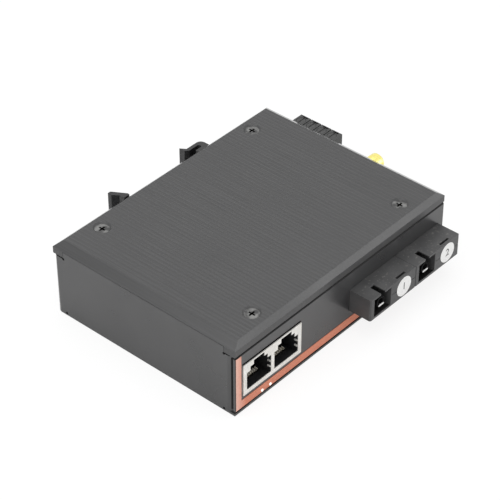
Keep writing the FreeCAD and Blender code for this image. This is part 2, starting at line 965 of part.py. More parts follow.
def make_jack_contacts(number, centre):
    """Eight spring wires that rise from the port's floor towards its back wall."""
    body = new_body(f"jack_contacts_{number}")
    floor = board_top + S.jack_port_floor
    start = front - S.jack_proud + S.contact_start
    end = front - S.jack_proud + S.jack_shell + S.jack_clearance + S.jack_port_depth
    knee = start + S.contact_reach
    top = floor + S.contact_rise
    gauge = S.contact_gauge
    profile = [
        (start, floor), (end, floor), (end, floor + gauge), (knee, top), (knee - gauge, top),
        (start, floor + gauge),
    ]
    first = centre - S.contact_pitch * ((CONTACTS - 1) / 2) - S.contact_width / 2
    blade = pad(body, "YZ", [profile], first, first + S.contact_width)
    row_of(body, blade, "X_Axis", S.contact_pitch, CONTACTS)
    return node(body, f"jack_contacts_{number}")


# Fibre transceivers, side by side.


def fibre_low_x(index):
    return left + S.fibre_left + S.fibre_width * index


def make_fibre_shell(index):
    body = new_body(f"fibre_shell_{index + 1}")
    low_x = fibre_low_x(index) + S.fibre_gap * index
    high_x = fibre_low_x(index) + S.fibre_width
    low_z = board_top + S.fibre_lift
    high_z = low_z + S.fibre_height
    mouth = front - S.fibre_proud
    pad(body, "XZ", [box_loop(low_x, high_x, low_z, high_z)], mouth, mouth + S.fibre_length)
    port_x = fibre_low_x(index) + S.fibre_port_offset
    port_z = (low_z + high_z) / 2
    half_w, half_h = S.fibre_port_width / 2, S.fibre_port_height / 2
    port = box_loop(port_x - half_w, port_x + half_w, port_z - half_h, port_z + half_h)
    cut(body, "XZ", [port], mouth, mouth + S.fibre_port_depth)
    key = box_loop(
        port_x - S.fibre_key_width / 2, port_x + S.fibre_key_width / 2, mouth, mouth + S.fibre_key_length
    )
    cut(body, "XY", [key], port_z + half_h, high_z)
    slot_x = fibre_low_x(index) + S.fibre_slot_offset
    slot_y = mouth + S.fibre_slot_setback
    slot = box_loop(
        slot_x - S.fibre_slot_length / 2,
        slot_x + S.fibre_slot_length / 2,
        slot_y,
        slot_y + S.fibre_slot_width,
    )
    cut(body, "XY", [slot], high_z - S.fibre_slot_depth, high_z)
    seam_line = box_loop(
        port_x + half_w + S.fibre_bevel, high_x, port_z - S.fibre_seam / 2, port_z + S.fibre_seam / 2
    )
    cut(body, "XZ", [seam_line], mouth, mouth + S.fibre_seam)
    dress_edges(body, "Chamfer", S.fibre_bevel, [{"x": low_x, "y": mouth}])
    return node(body, f"fibre_shell_{index + 1}")


def make_fibre_sleeve(index):
    name = f"fibre_sleeve_{index + 1}"
    length = S.fibre_port_depth - S.sleeve_setback
    sleeve = ring(name, S.sleeve_diameter, S.sleeve_bore, length)
    middle = board_top + S.fibre_lift + S.fibre_height / 2
    mouth = front - S.fibre_proud + S.sleeve_setback
    place(sleeve, fibre_low_x(index) + S.fibre_port_offset, mouth, middle, ALONG_Y)
    return node(sleeve, name)


def make_sticker(index):
    x = fibre_low_x(index) + S.sticker_offset
    middle = board_top + S.fibre_lift + S.fibre_height / 2
    y = front - S.fibre_proud - S.sticker_gauge
    name = f"port_sticker_{index + 1}"
    return node(rod(name, x, y, middle, S.sticker_diameter, S.sticker_gauge, ALONG_Y), name)


def make_fibre_pins():
    """Square pins that stand between the modules' undersides and the board."""
    body = new_body("fibre_pins")
    pins = [square(x, y, S.pin_width) for x, y in fibre_pin_places()]
    pad(body, "XY", pins, S.board_bottom - S.pin_tail, board_top + S.fibre_lift)
    return node(body, "fibre_pins")


# Label and indicator lamps on the front panel.


def make_label():
    body = new_body("front_label")
    low_x = left + S.label_margin
    high_x = right - S.label_end
    low_z = panel_bottom + S.lower_bend_radius
    high_z = panel_top - S.bend_radius
    outline = [
        (low_x, low_z), (high_x, low_z), (high_x, low_z + S.label_band),
        (low_x + S.label_strip, low_z + S.label_band), (low_x + S.label_strip, high_z), (low_x, high_z),
    ]
    pad(body, "XZ", [outline], front - S.label_gauge, front)
    cut(body, "XZ", lamp_holes(), front - S.label_gauge, front)
    return node(body, "front_label")


def make_lamps():
    """Light pipes that run back from the panel and turn up to the board."""
    body = new_body("indicator_lamps")
    back = front + S.lamp_length
    faces = [(lamp_x(index), S.lamp_height, S.lamp_diameter) for index in range(LAMPS)]
    pad(body, "XZ", faces, front - S.lamp_proud, back)
    risers = [square(lamp_x(index), back, S.lamp_diameter) for index in range(LAMPS)]
    pad(body, "XY", risers, S.lamp_height - S.lamp_diameter / 2, S.board_bottom)
    return node(body, "indicator_lamps")


# Terminal header, plug, clamp screws and clamp cages.


def terminal_y():
    return front + S.terminal_from_front


def header_mouth():
    return right + S.header_proud


def make_header():
    body = new_body("terminal_header")
    half = header_half_width()
    back = header_mouth() - S.header_depth
    top = board_top + S.header_height
    block = box_loop(terminal_y() - half, terminal_y() + half, board_top, top)
    pad(body, "YZ", [block], back, header_mouth())
    wall = S.header_wall
    side = half - wall
    cavity = box_loop(terminal_y() - side, terminal_y() + side, board_top + wall, top - wall)
    cut(body, "YZ", [cavity], header_mouth() - S.header_cavity, header_mouth())
    hole = S.header_pin + S.thread_clearance * 2
    pin_z = board_top + S.header_pin_height
    slots = [square(pole_y(index), pin_z, hole) for index in range(POLES)]
    cut(body, "YZ", slots, back, header_mouth() - S.header_cavity)
    return node(body, "terminal_header")


def make_header_pins():
    body = new_body("header_pins")
    half = S.header_pin / 2
    pin_z = board_top + S.header_pin_height
    leg_x = header_mouth() - S.header_depth - S.header_pin
    tip_x = header_mouth() - S.header_pin_setback
    outline = [
        (leg_x, S.board_bottom - S.pin_tail),
        (leg_x + S.header_pin, S.board_bottom - S.pin_tail),
        (leg_x + S.header_pin, pin_z - half),
        (tip_x, pin_z - half),
        (tip_x, pin_z + half),
        (leg_x, pin_z + half),
    ]
    first = pole_y(0) - half
    pin = pad(body, "XZ", [outline], first, first + S.header_pin)
    row_of(body, pin, "Y_Axis", S.pole_pitch, POLES)
    return node(body, "header_pins")


def plug_low_x():
    return header_mouth() + S.plug_gap


def plug_high_x():
    return plug_low_x() + S.plug_depth


def plug_low_z():
    return board_top + S.plug_lift


def clamp_x():
    return plug_high_x() - S.clamp_setback


def clamp_low_z():
    """The underside of a clamp cage at rest, with its window round the pin strip."""
    return board_top + S.header_pin_height + S.header_pin + S.strip_gauge - (
        S.clamp_window_height + S.clamp_floor
    )


def clamp_height():
    return S.clamp_floor + S.clamp_window_height + S.clamp_roof


def clamp_chamber_high():
    """The top of the room in which a clamp cage lifts."""
    return clamp_low_z() + clamp_height() + S.clamp_travel + S.clamp_clearance


def clamp_head_low_z():
    """The underside of a clamp screw's head, on the bridge over the cage's room."""
    return clamp_chamber_high() + S.clamp_bridge


def strip_low_z():
    return board_top + S.header_pin_height + S.header_pin / 2 + S.clamp_clearance


def make_plug():
    body = new_body("terminal_plug")
    half = S.pole_pitch * (POLES / 2)
    low_z, top = plug_low_z(), plug_low_z() + S.plug_height
    block = box_loop(terminal_y() - half, terminal_y() + half, low_z, top)
    pad(body, "YZ", [block], plug_low_x(), plug_high_x())
    inset = S.header_wall + S.plug_nose_margin
    nose_half = header_half_width() - inset
    nose = box_loop(
        terminal_y() - nose_half,
        terminal_y() + nose_half,
        board_top + inset,
        board_top + S.header_height - inset,
    )
    nose_low = plug_low_x() - S.plug_nose
    pad(body, "YZ", [nose], nose_low, plug_low_x())
    pin_z = board_top + S.header_pin_height
    throat = S.strip_width / 2 + S.clamp_clearance
    throat_low = pin_z - S.header_pin / 2 - S.strip_gauge
    chamber = S.clamp_outer + S.clamp_clearance * 2
    chamber_low = clamp_low_z() - S.clamp_clearance
    chamber_high = clamp_chamber_high()
    ledge = clamp_head_low_z() - S.thread_clearance
    entry_z = clamp_low_z() + S.clamp_floor + S.clamp_window_height / 2
    for index in range(POLES):
        y = pole_y(index)
        throat_loop = box_loop(y - throat, y + throat, throat_low, strip_low_z() + S.strip_gauge)
        cut(body, "YZ", [throat_loop], nose_low, clamp_x())
        cut(body, "XY", [square(clamp_x(), y, chamber)], chamber_low, chamber_high)
        cut(body, "YZ", [square(y, entry_z, S.wire_entry)], clamp_x(), plug_high_x())
        shank_hole = square(clamp_x(), y, S.clamp_screw + S.clamp_clearance * 2)
        cut(body, "XY", [shank_hole], chamber_high, ledge)
        well = (clamp_x(), y, S.clamp_screw_head + S.clamp_clearance * 2)
        cut(body, "XY", [well], ledge, top)
    for index in range(POLES - 1):
        y = (pole_y(index) + pole_y(index + 1)) / 2
        line = box_loop(y - S.plug_rib / 2, y + S.plug_rib / 2, top - S.plug_rib, top)
        cut(body, "YZ", [line], plug_low_x(), plug_high_x())
    return node(body, "terminal_plug")


def make_plug_strips():
    """Flat contact strips between the nose and the clamp cages, one for each pole."""
    body = new_body("plug_strips")
    low_z = strip_low_z()
    y = pole_y(0)
    loop = box_loop(y - S.strip_width / 2, y + S.strip_width / 2, low_z, low_z + S.strip_gauge)
    start = plug_low_x() - S.plug_nose + S.plug_gap
    strip = pad(body, "YZ", [loop], start, clamp_x() + S.clamp_outer / 2)
    row_of(body, strip, "Y_Axis", S.pole_pitch, POLES)
    return node(body, "plug_strips")


def make_clamp(index):
    body = new_body(f"terminal_clamp_{index + 1}")
    half = S.clamp_outer / 2
    y = pole_y(index)
    block = box_loop(clamp_x() - half, clamp_x() + half, y - half, y + half)
    low = clamp_low_z()
    pad(body, "XY", [block], low, low + clamp_height())
    window_low = low + S.clamp_floor
    window = box_loop(
        y - S.clamp_window / 2, y + S.clamp_window / 2, window_low, window_low + S.clamp_window_height
    )
    cut(body, "YZ", [window], clamp_x() - half, clamp_x() + half)
    thread = (clamp_x(), y, S.clamp_screw + S.thread_clearance * 2)
    cut(body, "XY", [thread], window_low + S.clamp_window_height, low + clamp_height())
    return node(body, f"terminal_clamp_{index + 1}")


def make_clamp_screw(index):
    name = f"terminal_screw_{index + 1}"
    body = new_body(name)
    head_top = clamp_head_low_z() + S.clamp_screw_head_height
    tip = clamp_low_z() + S.clamp_floor + S.clamp_window_height + S.clamp_clearance
    depth = tip - head_top
    shoulder = -S.clamp_screw_head_height
    shank, head = S.clamp_screw / 2, S.clamp_screw_head / 2
    revolve(body, [(0, depth), (shank, depth), (shank, shoulder), (head, shoulder), (head, 0), (0, 0)])
    blade = box_loop(-head, head, -(S.clamp_slot / 2), S.clamp_slot / 2)
    cut(body, "XY", [blade], -S.clamp_slot_depth, 0)
    place(body, clamp_x(), pole_y(index), head_top)
    return node(body, name)


# Earth post on the end wall.


def earth_spot():
    return front + S.earth_from_front, S.case_height - S.earth_below_top


def make_earth_stud():
    y, z = earth_spot()
    body = new_body("earth_stud")
    shank, collar = S.earth_stud / 2, S.earth_flange / 2
    inside = -(S.sheet_gauge + S.earth_nut_height + S.earth_stud_tail)
    face = S.sheet_gauge
    revolve(
        body,
        [
            (0, inside), (shank, inside), (shank, 0), (collar, 0), (collar, face),
            (shank, face), (shank, S.earth_stud_length), (0, S.earth_stud_length),
        ],
    )
    place(body, right, y, z, ALONG_X)
    return node(body, "earth_stud")


def make_earth_nut():
    y, z = earth_spot()
    thread = S.earth_stud + S.thread_clearance * 2
    nut = hex_ring("earth_nut", S.earth_nut_width, thread, S.earth_nut_height)
    place(nut, right - S.sheet_gauge - S.earth_nut_height, y, z, ALONG_X)
    return node(nut, "earth_nut")


def make_earth_thumb_nut():
    """A knurled nut with a plain collar that stands on the stud's own flange."""
    y, z = earth_spot()
    body = new_body("earth_thumb_nut")
    bore = S.earth_stud / 2 + S.thread_clearance
    collar, grip = S.earth_collar / 2, S.earth_thumb / 2
    low = S.sheet_gauge
    crown = S.earth_stud_length + S.sheet_gauge
    knee = crown - S.earth_thumb_length
    bevel = S.earth_bevel
    blind = S.earth_stud_length + S.thread_clearance
    revolve(
        body,
        [
            (bore, low), (collar, low), (collar, knee), (grip, knee), (grip, crown - bevel),
            (grip - bevel, crown), (0, crown), (0, blind), (bore, blind),
        ],
    )
    place(body, right, y, z, ALONG_X)
    return node(body, "earth_thumb_nut")


# Rail clip: a moulded body with the fixed hook and a sliding latch with its spring.


def clip_middle():
    return S.case_height / 2


def rail_edge(side):
    return left + S.rail_from_left + S.rail_width / 2 * side


def clip_screw_places():
    middle = left + S.rail_from_left
    return [middle - S.clip_screw_near, middle + S.clip_screw_far]


def tunnel_high():
    return rear + S.tunnel_floor + S.latch_gauge + S.latch_clearance * 2


def latch_leg_high_x():
    return rail_edge(-1) - S.latch_clearance


def window_low_x():
    return left + S.clip_left + S.spring_window_inset


def make_clip_body():
    body = new_body("din_clip_body")
    half = S.clip_width / 2
    low_z, high_z = clip_middle() - half, clip_middle() + half
    seat = rear + S.clip_seat
    outer = rear + S.hook_outer
    inner = outer - S.hook_arm
    slot_low = inner - S.hook_slot
    tip = rail_edge(1) - S.hook_reach
    slot_end = rail_edge(1) + S.hook_slot_end
    back = slot_end + S.hook_back
    pad_x = rail_edge(1) + S.hook_pad_setback
    outline = [
        (left + S.clip_left, rear),
        (left + S.clip_right, rear),
        (left + S.clip_right, rear + S.clip_foot),
        (back, seat),
        (back, outer),
        (tip + S.hook_arm, outer),
        (tip, outer + S.hook_flare),
        (tip, inner + S.hook_flare / 2),
        (tip + S.hook_arm, inner),
        (slot_end, inner),
        (slot_end, slot_low),
        (pad_x, slot_low),
        (pad_x, seat),
        (left + S.clip_left, seat),
    ]
    pad(body, "XY", [outline], low_z, high_z)
    dress_edges(body, "Fillet", S.hook_round, [{"x": back, "y": outer}])
    slot_corners = [{"x": slot_end, "y": inner}, {"x": slot_end, "y": slot_low}]
    dress_edges(body, "Fillet", S.hook_slot / 2 - S.thread_clearance, slot_corners)
    tunnel_half = S.latch_tongue_width / 2 + S.latch_clearance
    tunnel = box_loop(
        rear + S.tunnel_floor, tunnel_high(), clip_middle() - tunnel_half, clip_middle() + tunnel_half
    )
    tunnel_far = rail_edge(-1) + S.tunnel_end
    cut(body, "YZ", [tunnel], left + S.clip_left, tunnel_far)
    slot_low_x = latch_leg_high_x() - S.latch_leg - S.latch_travel - S.latch_clearance * 2
    run = box_loop(
        slot_low_x,
        latch_leg_high_x() + S.latch_clearance,
        clip_middle() - tunnel_half,
        clip_middle() + tunnel_half,
    )
    cut(body, "XZ", [run], tunnel_high(), seat)
    peg_half = S.spring_window_width / 2 - S.latch_clearance
    peg_x = window_low_x() + S.latch_clearance
    peg = box_loop(peg_x, peg_x + S.spring_peg, clip_middle() - peg_half, clip_middle() + peg_half)
    pad(body, "XZ", [peg], rear + S.tunnel_floor / 2, seat - S.tunnel_floor / 2)
    for x in clip_screw_places():
        countersink(body, x, clip_middle(), seat)
    return node(body, "din_clip_body")


def countersink(body, x, z, face):
    """A screw hole along Y with a cone at the outer face, cut by a turned groove."""
    shank = S.screw_diameter / 2 + S.screw_clearance
    mouth = S.screw_head / 2 + S.screw_clearance / 2
    cone = mouth - shank
    sketch = new_sketch(body, "XY", z)
    draw_loop(
        sketch,
        [
            (x, rear - S.tunnel_floor), (x + shank, rear - S.tunnel_floor),
            (x + shank, face - cone), (x + mouth, face), (x + mouth, face + cone), (x, face + cone),
        ],
    )
    groove = body.newObject("PartDesign::Groove", f"{body.Name}_sink")
    groove.Profile = sketch
    groove.ReferenceAxis = (sketch, ["Edge6"])
    groove.Angle = 360
    CUTS.append(groove)


def make_latch():
    body = new_body("din_latch")
    half = S.latch_tongue_width / 2
    low_y = rear + S.tunnel_floor + S.latch_clearance
    high_y = low_y + S.latch_gauge
    tab_x = left + S.clip_left - S.latch_tab
    leg_high = latch_leg_high_x()
    leg_low = leg_high - S.latch_leg
    under = rear + S.clip_seat + S.rail_gauge + S.latch_clearance * 2
    leg_top = under + S.latch_clearance
    tongue = [
        (tab_x, low_y), (leg_high, low_y), (leg_high, leg_top), (leg_low, leg_top),
        (leg_low, high_y), (tab_x, high_y),
    ]
    pad(body, "XY", [tongue], clip_middle() - half, clip_middle() + half)
    outer = rear + S.latch_outer
    catch = leg_high + S.latch_catch
    lip_x = catch - S.latch_flare
    jaw = [
        (leg_low, under),
        (leg_high, under),
        (catch, leg_top),
        (catch, under + S.rail_gauge),
        (lip_x, outer),
        (lip_x - S.latch_lip_width, outer),
        (lip_x - S.latch_lip_width, outer - S.latch_lip),
        (leg_low, under + S.latch_root),
    ]
    jaw_half = S.clip_width / 2
    pad(body, "XY", [jaw], clip_middle() - jaw_half, clip_middle() + jaw_half)
    tab_half = S.latch_tab_width / 2
    tab_end = left + S.clip_left - S.latch_tab_gap
    tab = box_loop(tab_x, tab_end, clip_middle() - tab_half, clip_middle() + tab_half)
    pad(body, "XZ", [tab], low_y, high_y)
    window_half = S.spring_window_width / 2
    window = box_loop(
        window_low_x(),
        window_low_x() + S.spring_window,
        clip_middle() - window_half,
        clip_middle() + window_half,
    )
    slot_x = tab_x + S.latch_tab_slot
    slot_half = half / 2
    slot = box_loop(slot_x, slot_x + S.latch_tab_slot, clip_middle() - slot_half, clip_middle() + slot_half)
    cut(body, "XZ", [window, slot], low_y, high_y)
    corners = [{"x": lip_x, "y": outer}, {"x": catch, "y": under + S.rail_gauge}]
    dress_edges(body, "Fillet", S.latch_round, corners)
    return node(body, "din_latch")


def make_latch_spring():
    """A folded strip between the body's peg and the far end of the latch's window."""
    body = new_body("latch_spring")
    start = window_low_x() + S.latch_clearance + S.spring_peg + S.thread_clearance
    end = window_low_x() + S.spring_window - S.thread_clearance
    pitch = (end - start - S.spring_strip) / SPRING_FOLDS
    low, high = clip_middle() - S.spring_width / 2, clip_middle() + S.spring_width / 2
    # Where the two legs of a fold part, on its inner side.
    crotch_x = start + (pitch + S.spring_strip) / 2
    crotch_z = low + S.spring_width * (pitch - S.spring_strip) / pitch
    fold = [
        (start, low),
        (start + S.spring_strip, low),
        (crotch_x, crotch_z),
        (start + pitch, low),
        (start + pitch + S.spring_strip, low),
        (start + pitch / 2 + S.spring_strip, high),
        (start + pitch / 2, high),
    ]
    middle_y = rear + S.tunnel_floor + S.latch_clearance + S.latch_gauge / 2
    half = S.spring_height / 2
    first = pad(body, "XZ", [fold], middle_y - half, middle_y + half)
    row_of(body, first, "X_Axis", pitch, SPRING_FOLDS)
    return node(body, "latch_spring")


def make_clip_screws():
    members = []
    face = rear + S.clip_seat - S.screw_clearance / 2
    for x in clip_screw_places():
        screw = flat_head_screw("clip_screw", S.clip_screw_length, S.screw_head)
        members.append(place(screw, x, face, clip_middle(), ALONG_Y))
    return node(group("clip_screws", members), "clip_screws")


def make_clip_nuts():
    members = []
    for x in clip_screw_places():
        nut = hex_ring("clip_nut", S.nut_width, screw_thread(), S.nut_height)
        members.append(place(nut, x, rear - S.sheet_gauge - S.nut_height, clip_middle(), ALONG_Y))
    return node(group("clip_nuts", members), "clip_nuts")


make_tray()
make_front_panel()
make_rear_panel()
make_cover()
make_cover_screws()
make_cover_nuts()
make_board()
make_standoffs()
make_board_screws()
make_line_transformers()
make_switch_chip()
make_crystal()
make_supply_parts()
make_jack_shield()
make_jack_housing()
for port, port_centre in enumerate(port_centres(), start=1):
    make_jack_contacts(port, port_centre)
for module in range(2):
    make_fibre_shell(module)
    make_fibre_sleeve(module)
    make_sticker(module)
make_fibre_pins()
make_label()
make_lamps()
make_header()
make_header_pins()
make_plug()
make_plug_strips()
for pole in range(POLES):
    make_clamp(pole)
    make_clamp_screw(pole)
make_earth_stud()
make_earth_nut()
make_earth_thumb_nut()
make_clip_body()
make_latch()
make_latch_spring()
make_clip_screws()
make_clip_nuts()
doc.recompute()

failed = [item.Label for item in doc.Objects if {"Invalid", "Error"} & set(item.State)]
if failed:
    raise SystemExit(f"these objects failed: {failed}")
idle = [item.Name for item in CUTS if item.Shape.Volume >= item.BaseFeature.Shape.Volume - 1e-6]
if idle:
    raise SystemExit(f"these cuts remove nothing: {idle}")
os.makedirs("parts", exist_ok=True)
for name, thing in NODES.items():
    shape = thing.Shape
    if shape.isNull() or not shape.isValid():
        raise SystemExit(f"{name} has no valid shape")
    shape.exportStep(f"parts/{name}.step")
    print(f"{name}: {len(shape.Solids)} solids, {shape.Volume:.1f} mm3")
print(f"{len(NODES)} sub-parts")
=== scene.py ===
# %% [markdown]
# # A media converter for a mounting rail, dressed in Blender
# The real object is a flat sheet-metal box with a ribbed aluminium cover. It lies on its
# side. Its front carries a twin copper jack and two square fibre modules, its right end
# a screw terminal and a brass earth post, and its back a black clip for a rail.
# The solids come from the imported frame, so they already have the right size and place.
# This lesson gives them their finish, a few small pieces, a studio and a camera.

import math

import bpy
from mathutils import Matrix, Vector


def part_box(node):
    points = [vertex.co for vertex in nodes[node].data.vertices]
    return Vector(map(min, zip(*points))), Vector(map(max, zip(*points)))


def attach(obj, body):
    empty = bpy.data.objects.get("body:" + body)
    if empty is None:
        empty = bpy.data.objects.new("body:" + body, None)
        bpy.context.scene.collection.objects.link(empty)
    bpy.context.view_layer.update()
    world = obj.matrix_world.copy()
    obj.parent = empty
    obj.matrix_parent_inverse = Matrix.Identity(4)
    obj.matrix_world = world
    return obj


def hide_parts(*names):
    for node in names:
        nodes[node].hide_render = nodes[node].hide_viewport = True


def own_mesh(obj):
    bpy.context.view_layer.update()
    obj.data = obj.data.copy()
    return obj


MM = 0.001


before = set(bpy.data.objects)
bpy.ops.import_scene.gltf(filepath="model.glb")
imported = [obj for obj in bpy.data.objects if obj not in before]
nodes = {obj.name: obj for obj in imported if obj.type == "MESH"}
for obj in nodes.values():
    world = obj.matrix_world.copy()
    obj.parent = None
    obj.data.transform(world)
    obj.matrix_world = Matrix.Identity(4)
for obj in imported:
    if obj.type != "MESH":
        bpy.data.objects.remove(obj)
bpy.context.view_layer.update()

# %% [markdown]
# ## The camera
# A product photographer stands well back with a long lens, which keeps the box's edges
# almost parallel. The azimuth and elevation below are those of the photograph. The
# camera is built from three directions: what it looks along, its right and its up.

# %% Put the camera where the photographer stood
AZIMUTH = math.radians(-48.74)
ELEVATION = math.radians(38.41)
LENS = 143.3
SENSOR_WIDTH = 36
DISTANCE = 668.2 * MM
AIM = Vector((-27.7, -23.4, 44.0)) * MM

ahead = Vector((
    -math.sin(AZIMUTH) * math.cos(ELEVATION),
    math.cos(AZIMUTH) * math.cos(ELEVATION),
    -math.sin(ELEVATION),
))
right = Vector((math.cos(AZIMUTH), math.sin(AZIMUTH), 0))
upward = right.cross(ahead)

camera_data = bpy.data.cameras.new("product_camera")
camera_data.lens = LENS
camera_data.sensor_width = SENSOR_WIDTH
camera = bpy.data.objects.new("product_camera", camera_data)
bpy.context.scene.collection.objects.link(camera)
turn = Matrix((right, upward, -ahead)).transposed().to_4x4()
camera.matrix_world = Matrix.Translation(AIM - ahead * DISTANCE) @ turn
bpy.context.scene.camera = camera
print("camera stands at", [round(value, 3) for value in camera.matrix_world.translation])

# %% [markdown]
# ## The studio
# The photograph has a white ground that runs up behind the object, and only a faint
# shadow at its foot. The world is plain white wherever the camera or a reflection looks
# at it, and dimmer as a light, so that the dark paint keeps its own tone. Three small
# helpers make the nodes that decide this.

# %% Helpers for node trees
def link(tree, source, target):
    tree.links.new(source, target)


def add_node(tree, kind, **settings):
    """A new node with some of its settings filled in."""
    fresh = tree.nodes.new(kind)
    for name, value in settings.items():
        setattr(fresh, name, value)
    return fresh


def looked_at(tree):
    """Is 1 where the camera, a reflection or a pane of glass looks, and 0 for plain light."""
    path = add_node(tree, "ShaderNodeLightPath")
    first = add_node(tree, "ShaderNodeMath", operation="MAXIMUM")
    both = add_node(tree, "ShaderNodeMath", operation="MAXIMUM")
    link(tree, path.outputs["Is Camera Ray"], first.inputs[0])
    link(tree, path.outputs["Is Glossy Ray"], first.inputs[1])
    link(tree, first.outputs[0], both.inputs[0])
    link(tree, path.outputs["Is Transmission Ray"], both.inputs[1])
    return both.outputs[0]


# %% World light
WORLD_LIGHT = 0.55
WORLD_SEEN = 1.0
WHITE = (1, 1, 1, 1)

world = bpy.data.worlds.new("white_studio")
world.use_nodes = True
bpy.context.scene.world = world
sky = world.node_tree
background = sky.nodes["Background"]
background.inputs["Color"].default_value = WHITE
level = add_node(sky, "ShaderNodeMapRange")
level.inputs["To Min"].default_value = WORLD_LIGHT
level.inputs["To Max"].default_value = WORLD_SEEN
link(sky, looked_at(sky), level.inputs["Value"])
link(sky, level.outputs["Result"], background.inputs["Strength"])
print("world light", WORLD_LIGHT)

# %% [markdown]
# ## The white ground
# A photographer lights the ground until it is almost white, and a faint shadow stays
# where the box touches it. Here the camera sees a grey paper with a glow of its own, so
# the shadow is only as deep as the paper's own part. A reflection sees plain white
# paper instead, because the shadow under the box is what darkens the foot of the wall.

# %% White floor
FLOOR_SIZE = 6.0
FLOOR_DROP = 0.05 * MM
PAPER_ROUGHNESS = 0.9
PAPER_SHINE = 0.1
SEEN_PAPER, SEEN_GLOW = 0.20, 0.84
MIRRORED_PAPER, MIRRORED_GLOW = 0.90, 0.12


def grey(value):
    return (value, value, value, 1)


half = FLOOR_SIZE / 2
floor_mesh = bpy.data.meshes.new("studio_floor")
floor_mesh.from_pydata(
    [(-half, -half, 0), (half, -half, 0), (half, half, 0), (-half, half, 0)], [], [(0, 1, 2, 3)]
)
floor = bpy.data.objects.new("studio_floor", floor_mesh)
floor.location.z = -FLOOR_DROP
bpy.context.scene.collection.objects.link(floor)

paper = bpy.data.materials.new("studio_paper")
paper.use_nodes = True
tree = paper.node_tree
shader = tree.nodes["Principled BSDF"]
shader.inputs["Roughness"].default_value = PAPER_ROUGHNESS
shader.inputs["Specular IOR Level"].default_value = PAPER_SHINE
shader.inputs["Emission Color"].default_value = WHITE
path = add_node(tree, "ShaderNodeLightPath")
shade = add_node(tree, "ShaderNodeMix", data_type="RGBA")
shade.inputs["A"].default_value = grey(MIRRORED_PAPER)
shade.inputs["B"].default_value = grey(SEEN_PAPER)
link(tree, path.outputs["Is Camera Ray"], shade.inputs["Factor"])
link(tree, shade.outputs["Result"], shader.inputs["Base Color"])
own = add_node(tree, "ShaderNodeMapRange")
own.inputs["To Min"].default_value = MIRRORED_GLOW
own.inputs["To Max"].default_value = SEEN_GLOW
link(tree, path.outputs["Is Camera Ray"], own.inputs["Value"])
glow = add_node(tree, "ShaderNodeMath", operation="MULTIPLY")
link(tree, own.outputs["Result"], glow.inputs[0])
link(tree, looked_at(tree), glow.inputs[1])
link(tree, glow.outputs[0], shader.inputs["Emission Strength"])
floor_mesh.materials.append(paper)
print("floor", FLOOR_SIZE, "m wide")

# %% [markdown]
# ## Soft lamps
# Three square lamps stand round the box: a wide one above, one far to the right of the
# front, and one at the left end. Places are in metres, in the frame of the part.

# %% Lamps
MIDDLE = (0, 0, 0.015)
LAMPS = {
    "top_softbox": {"place": (-0.10, 0.15, 1.1), "size": 1.2, "watts": 5.0},
    "front_softbox": {"place": (0.65, -0.84, 0.31), "size": 0.6, "watts": 2.2},
    "end_softbox": {"place": (-1.1, -0.1, 0.5), "size": 0.9, "watts": 3.0},
}


def soft_lamp(name, place, size, watts):
    """A square area lamp that points at the middle of the object."""
    data = bpy.data.lights.new(name, "AREA")
    data.size = size
    data.energy = watts
    lamp = bpy.data.objects.new(name, data)
    lamp.location = place
    lamp.rotation_euler = (Vector(MIDDLE) - Vector(place)).to_track_quat("-Z", "Y").to_euler()
    bpy.context.scene.collection.objects.link(lamp)


for name, lamp in LAMPS.items():
    soft_lamp(name, **lamp)
bpy.context.scene.view_settings.view_transform = "Standard"
print(len(LAMPS), "soft lamps")

# %% [markdown]
# ## Crisp edges that catch the light
# Nothing real has a perfectly sharp edge. The solids arrive as triangles, so each one is
# first welded, then its flat faces are merged, and only then does a narrow bevel run
# along its edges. All three are modifiers, so the solid underneath stays as it was.

# %% Edge helper
WELD_REACH = 0.002 * MM
FLAT_ANGLE = math.radians(0.8)
SHARP_ANGLE = math.radians(35)
BEVEL_STEPS = 2


def soften_edges(names, width_mm):
    for name in names:
        thing = nodes[name]
        thing.modifiers.new("weld", "WELD").merge_threshold = WELD_REACH
        flats = thing.modifiers.new("merge_flats", "DECIMATE")
        flats.decimate_type = "DISSOLVE"
        flats.angle_limit = FLAT_ANGLE
        bevel = thing.modifiers.new("edge_bevel", "BEVEL")
        bevel.width = width_mm * MM
        bevel.segments = BEVEL_STEPS
        bevel.limit_method = "ANGLE"
        bevel.angle_limit = SHARP_ANGLE
        bevel.harden_normals = True
    print(len(names), "solids with", width_mm, "mm edges")


# %% [markdown]
# ## How a finish is made
# Each finish starts as one colour, one roughness and one metal value. Then come three
# kinds of detail: a second colour in soft patches, a change of gloss in patches too, and
# a fine grain that only bends the light. Sizes are given in millimetres, because that is
# how a finish is judged on the bench.

# %% The start of a finish, and its grain
def new_finish(name, colour, roughness, metallic=0.0, ior=1.5):
    """A material of one colour, to which detail is added next."""
    material = bpy.data.materials.new(name)
    material.use_nodes = True
    material.diffuse_color = (*colour, 1)
    shader = shader_of(material)
    shader.inputs["Base Color"].default_value = (*colour, 1)
    shader.inputs["Roughness"].default_value = roughness
    shader.inputs["Metallic"].default_value = metallic
    shader.inputs["IOR"].default_value = ior
    return material


def shader_of(material):
    return material.node_tree.nodes["Principled BSDF"]


def grain(material, size_mm, stretch=(1, 1, 1), detail=3.0):
    """A noise whose bumps are about size_mm across, longer along a stretched axis."""
    tree = material.node_tree
    place = add_node(tree, "ShaderNodeTexCoord")
    scale = add_node(tree, "ShaderNodeMapping")
    scale.inputs["Scale"].default_value = [1 / (MM * size_mm * factor) for factor in stretch]
    noise = add_node(tree, "ShaderNodeTexNoise")
    noise.inputs["Scale"].default_value = 1.0
    noise.inputs["Detail"].default_value = detail
    link(tree, place.outputs["Object"], scale.inputs["Vector"])
    link(tree, scale.outputs["Vector"], noise.inputs["Vector"])
    return noise.outputs["Fac"]


